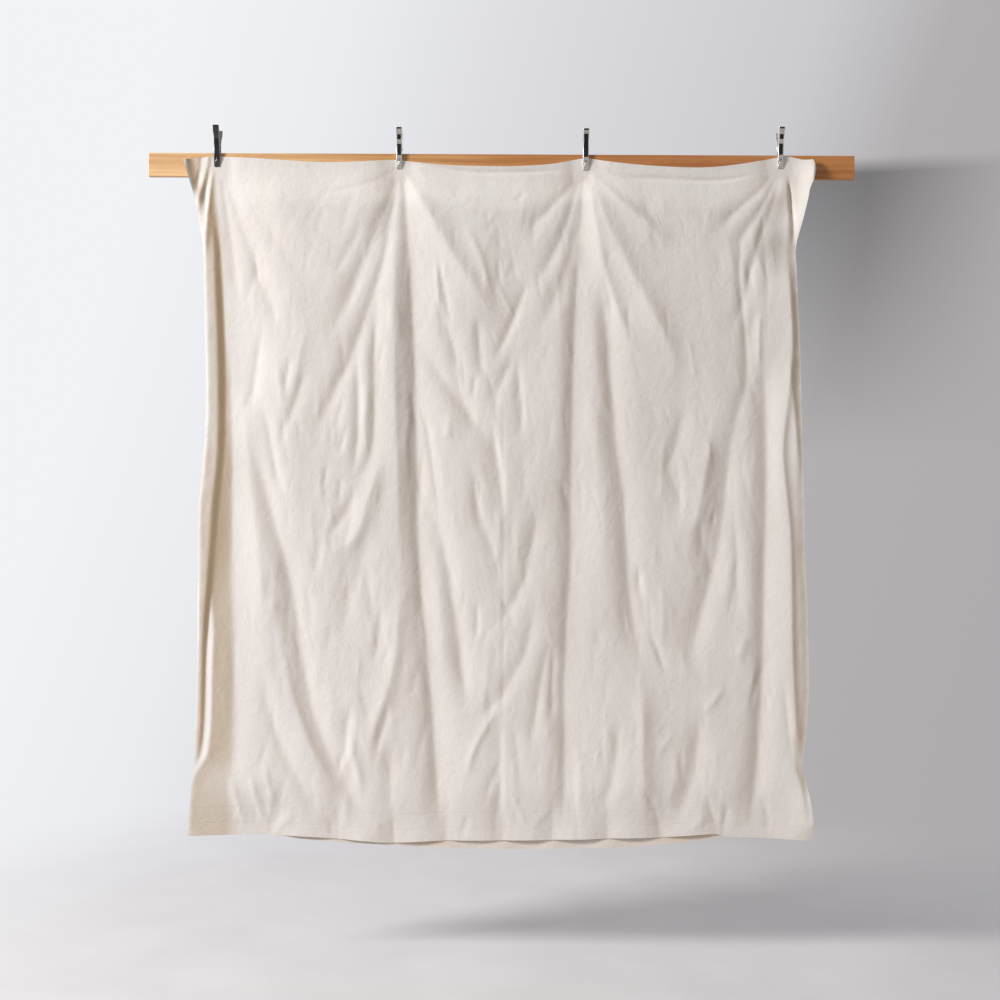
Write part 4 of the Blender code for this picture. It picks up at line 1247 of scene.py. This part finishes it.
def cotton_finish():
    """Undyed plain weave with slubs along both threads, a soft crumple, painted warm shade in the hollows and
    on slopes turned from the light, and stitching.
    """
    made, tree, shader = new_finish("washed cotton", (0.80, 0.74, 0.67), 0.88)
    shader.inputs["Sheen Weight"].default_value = 0.12
    shader.inputs["Sheen Roughness"].default_value = 0.6
    shader.inputs["Specular IOR Level"].default_value = 0.18
    place = node(tree, "TexCoord").outputs["Object"]
    flat = node(tree, "UVMap", uv_map="cloth").outputs["UV"]

    cloudy = noise(tree, place, 2.1, 3)
    base = ramp(tree, cloudy, (0.30, (0.735, 0.688, 0.654)), (0.70, (0.765, 0.728, 0.702)))
    threads = [noise(tree, scaled(tree, flat, scale), 1.0, 2) for scale in ((30, 900, 1), (900, 30, 1))]
    slubs = figure(tree, "ADD", *threads)
    thread = ramp(tree, figure(tree, "MULTIPLY", slubs, 0.5), (0.38, (0.93, 0.92, 0.90)), (0.62, (1, 1, 1)))
    hollow = node(tree, "Attribute", attribute_name="hollow").outputs["Fac"]
    # Painted shade: the "hollow" attribute blends in a darker brownish colour in folds, on slopes turned from
    # the key lamp and inside the mouth.
    warm = blend(tree, hollow, blend(tree, 0.8, base, thread, "MULTIPLY"), (0.63, 0.48, 0.325, 1))
    tree.links.new(warm, shader.inputs["Base Color"])

    # Fine creases in the cloth's face lean left in some places, hang straight in others, and elsewhere lean
    # right.
    crumple = noise(tree, place, 30, 4, Roughness=0.55, Distortion=0.6)
    leaning = []
    for lean in (-0.45, 0.0, 0.45):
        turned = {"Vector": place, "Rotation": (0, lean, 0), "Scale": (0.014, 0.014, 0.048)}
        lines_at = node(tree, "Mapping", turned, vector_type="TEXTURE").outputs["Vector"]
        leaning.append(noise(tree, lines_at, 1.0, 4, Roughness=0.6))
    sway = noise(tree, place, 4.5, 1)
    lines = leaning[0]
    for low, high, next_lines in ((0.42, 0.50, leaning[1]), (0.50, 0.58, leaning[2])):
        feeds = {"Factor": ranged(tree, sway, low, high), "A": lines, "B": next_lines}
        lines = node(tree, "Mix", feeds).outputs["Result"]
    waves = {"Vector": flat, "Scale": 180, "Distortion": 0.4}
    weave = [node(tree, "TexWave", waves, bands_direction=way).outputs["Fac"] for way in ("X", "Y")]
    face = relief(tree, crumple, 0.95, 0.0016)
    face = relief(tree, lines, 0.65, 0.0013, face)
    face = relief(tree, slubs, 0.40, 0.0004, face)
    face = relief(tree, figure(tree, "ADD", *weave), 0.18, 0.0002, face)
    face = relief(tree, hem_stitches(tree, flat), 0.5, 0.0006, face)
    tree.links.new(face, shader.inputs["Normal"])
    return made


cotton = cotton_finish()
front = cotton_sheet("front_panel_cotton", FRONT_FOOT, front_layer, -1, cotton)
back = cotton_sheet("back_panel_cotton", BACK_FOOT, back_layer, 1, cotton)
for panel, replaced, drop in ((front, "front_panel", FLAT_LENGTH), (back, "back_panel", BACK_LENGTH)):
    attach(panel, "root")
    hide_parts(replaced)


# --------------------------------------------------------------------------------------------- the studio
# A pale floor that stops a little way behind the cover, a big soft lamp high at the left, and an open
# sky that is bright at the left and greyer at the right, with a painted shadow low at the right. None of it
# belongs to the object.

FLOOR_Z = -2.76


def world_light():
    """The light from all around: a bright sky behind the cover and a dim room before it."""
    sky = bpy.data.worlds.new("studio")
    sky.use_nodes = True
    tree = sky.node_tree
    tree.nodes.clear()
    way = node(tree, "SeparateXYZ", {"Vector": node(tree, "TexCoord").outputs["Generated"]}).outputs

    # The sky goes from bright at the left to grey at the right, and a dark patch low in it, right of the
    # middle, is a painted shadow of the cover on a wall.
    slanted = figure(tree, "ADD", way["X"], figure(tree, "MULTIPLY", way["Z"], -0.3))
    behind = ramp(
        tree, ranged(tree, slanted, -0.40, 0.40),
        (0.12, (0.89, 0.895, 0.92)), (0.26, (0.83, 0.84, 0.87)), (0.39, (0.73, 0.73, 0.765)),
        (0.64, (0.60, 0.595, 0.62)), (0.74, (0.45, 0.435, 0.44)), (1.0, (0.42, 0.41, 0.42)),
    )
    painted_wall_shadow = ranged(tree, way["Z"], 0.03, 0.23, 0.0, 0.66)
    for axis, low, high in (("Z", 0.225, 0.215), ("X", 0.34, 0.24), ("X", 0.05, 0.15)):
        painted_wall_shadow = figure(tree, "MULTIPLY", painted_wall_shadow, ranged(tree, way[axis], low, high))
    behind = blend(tree, painted_wall_shadow, behind, (0.0, 0.0, 0.0, 1))

    # The room is lighter at the left and above.
    lit = figure(tree, "MAXIMUM", ranged(tree, way["X"], -0.30, -0.75), ranged(tree, way["Z"], 0.10, 0.55))
    room = ramp(tree, lit, (0.0, (0.17, 0.17, 0.175)), (1.0, (0.46, 0.46, 0.475)))
    colour = blend(tree, ranged(tree, way["Y"], -0.25, 0.25), room, behind)
    glow = node(tree, "Background", {"Color": colour, "Strength": 1.0}).outputs["Background"]
    tree.links.new(glow, node(tree, "OutputWorld").inputs["Surface"])
    bpy.context.scene.world = sky


def soft_lamp(name, place, target, size, power, colour):
    """A round soft lamp at a place, turned to its target."""
    lamp = bpy.data.lights.new(name, "AREA")
    lamp.shape = "DISK"
    lamp.size = size
    lamp.energy = power
    lamp.color = colour
    holder = bpy.data.objects.new(name, lamp)
    bpy.context.scene.collection.objects.link(holder)
    holder.location = place
    aim = Vector(target) - Vector(place)
    holder.rotation_euler = aim.to_track_quat("-Z", "Y").to_euler()


def studio_floor():
    """A pale floor, which thins out to nothing some way from the cover, so that it has no hard far edge."""
    bpy.ops.object.select_all(action="DESELECT")
    bpy.ops.mesh.primitive_plane_add(size=9, location=(0, 0, FLOOR_Z))
    floor = bpy.context.object
    floor.name = "studio_floor"
    bpy.ops.object.transform_apply(location=True, rotation=True, scale=True)
    finish, tree, shader = new_finish("pale floor", (0.80, 0.80, 0.82), 0.75)
    place = node(tree, "TexCoord").outputs["Object"]
    shade = ramp(tree, noise(tree, place, 3, 2), (0.3, (0.585, 0.57, 0.575)), (0.7, (0.625, 0.61, 0.615)))
    tree.links.new(shade, shader.inputs["Base Color"])
    away = node(tree, "VectorMath", {0: place, 1: (0, 0, FLOOR_Z)}, operation="DISTANCE").outputs["Value"]
    gone = ranged(tree, away, 1.1, 3.2, interpolation_type="SMOOTHSTEP")
    clear = node(tree, "BsdfTransparent").outputs["BSDF"]
    thinned = node(tree, "MixShader", {"Fac": gone, 1: shader.outputs["BSDF"], 2: clear})
    tree.links.new(thinned.outputs["Shader"], tree.nodes["Material Output"].inputs["Surface"])
    floor.data.materials.append(finish)


def studio_camera():
    """Level with the cover's middle and square to it, with a hair of roll."""
    lens = bpy.data.cameras.new("camera")
    lens.sensor_width = 36
    lens.lens = 52.1
    lens.clip_end = 60
    holder = bpy.data.objects.new("camera", lens)
    bpy.context.scene.collection.objects.link(holder)
    holder.location = (0.0, -5.02, -1.154)
    holder.rotation_euler = (math.radians(90), math.radians(-0.26), 0)
    bpy.context.scene.camera = holder


world_light()
soft_lamp("key", (-7.0, -3.7, 2.3), (0, 0, -1.2), 2.1, 850, (1.0, 0.99, 0.97))
soft_lamp("low fill", (5.0, -4.5, -2.5), (0.5, 0, -2.0), 3.0, 46, (1.0, 0.88, 0.72))
studio_floor()
studio_camera()
bpy.context.scene.view_settings.view_transform = "Standard"
bpy.context.scene.view_settings.look = "None"
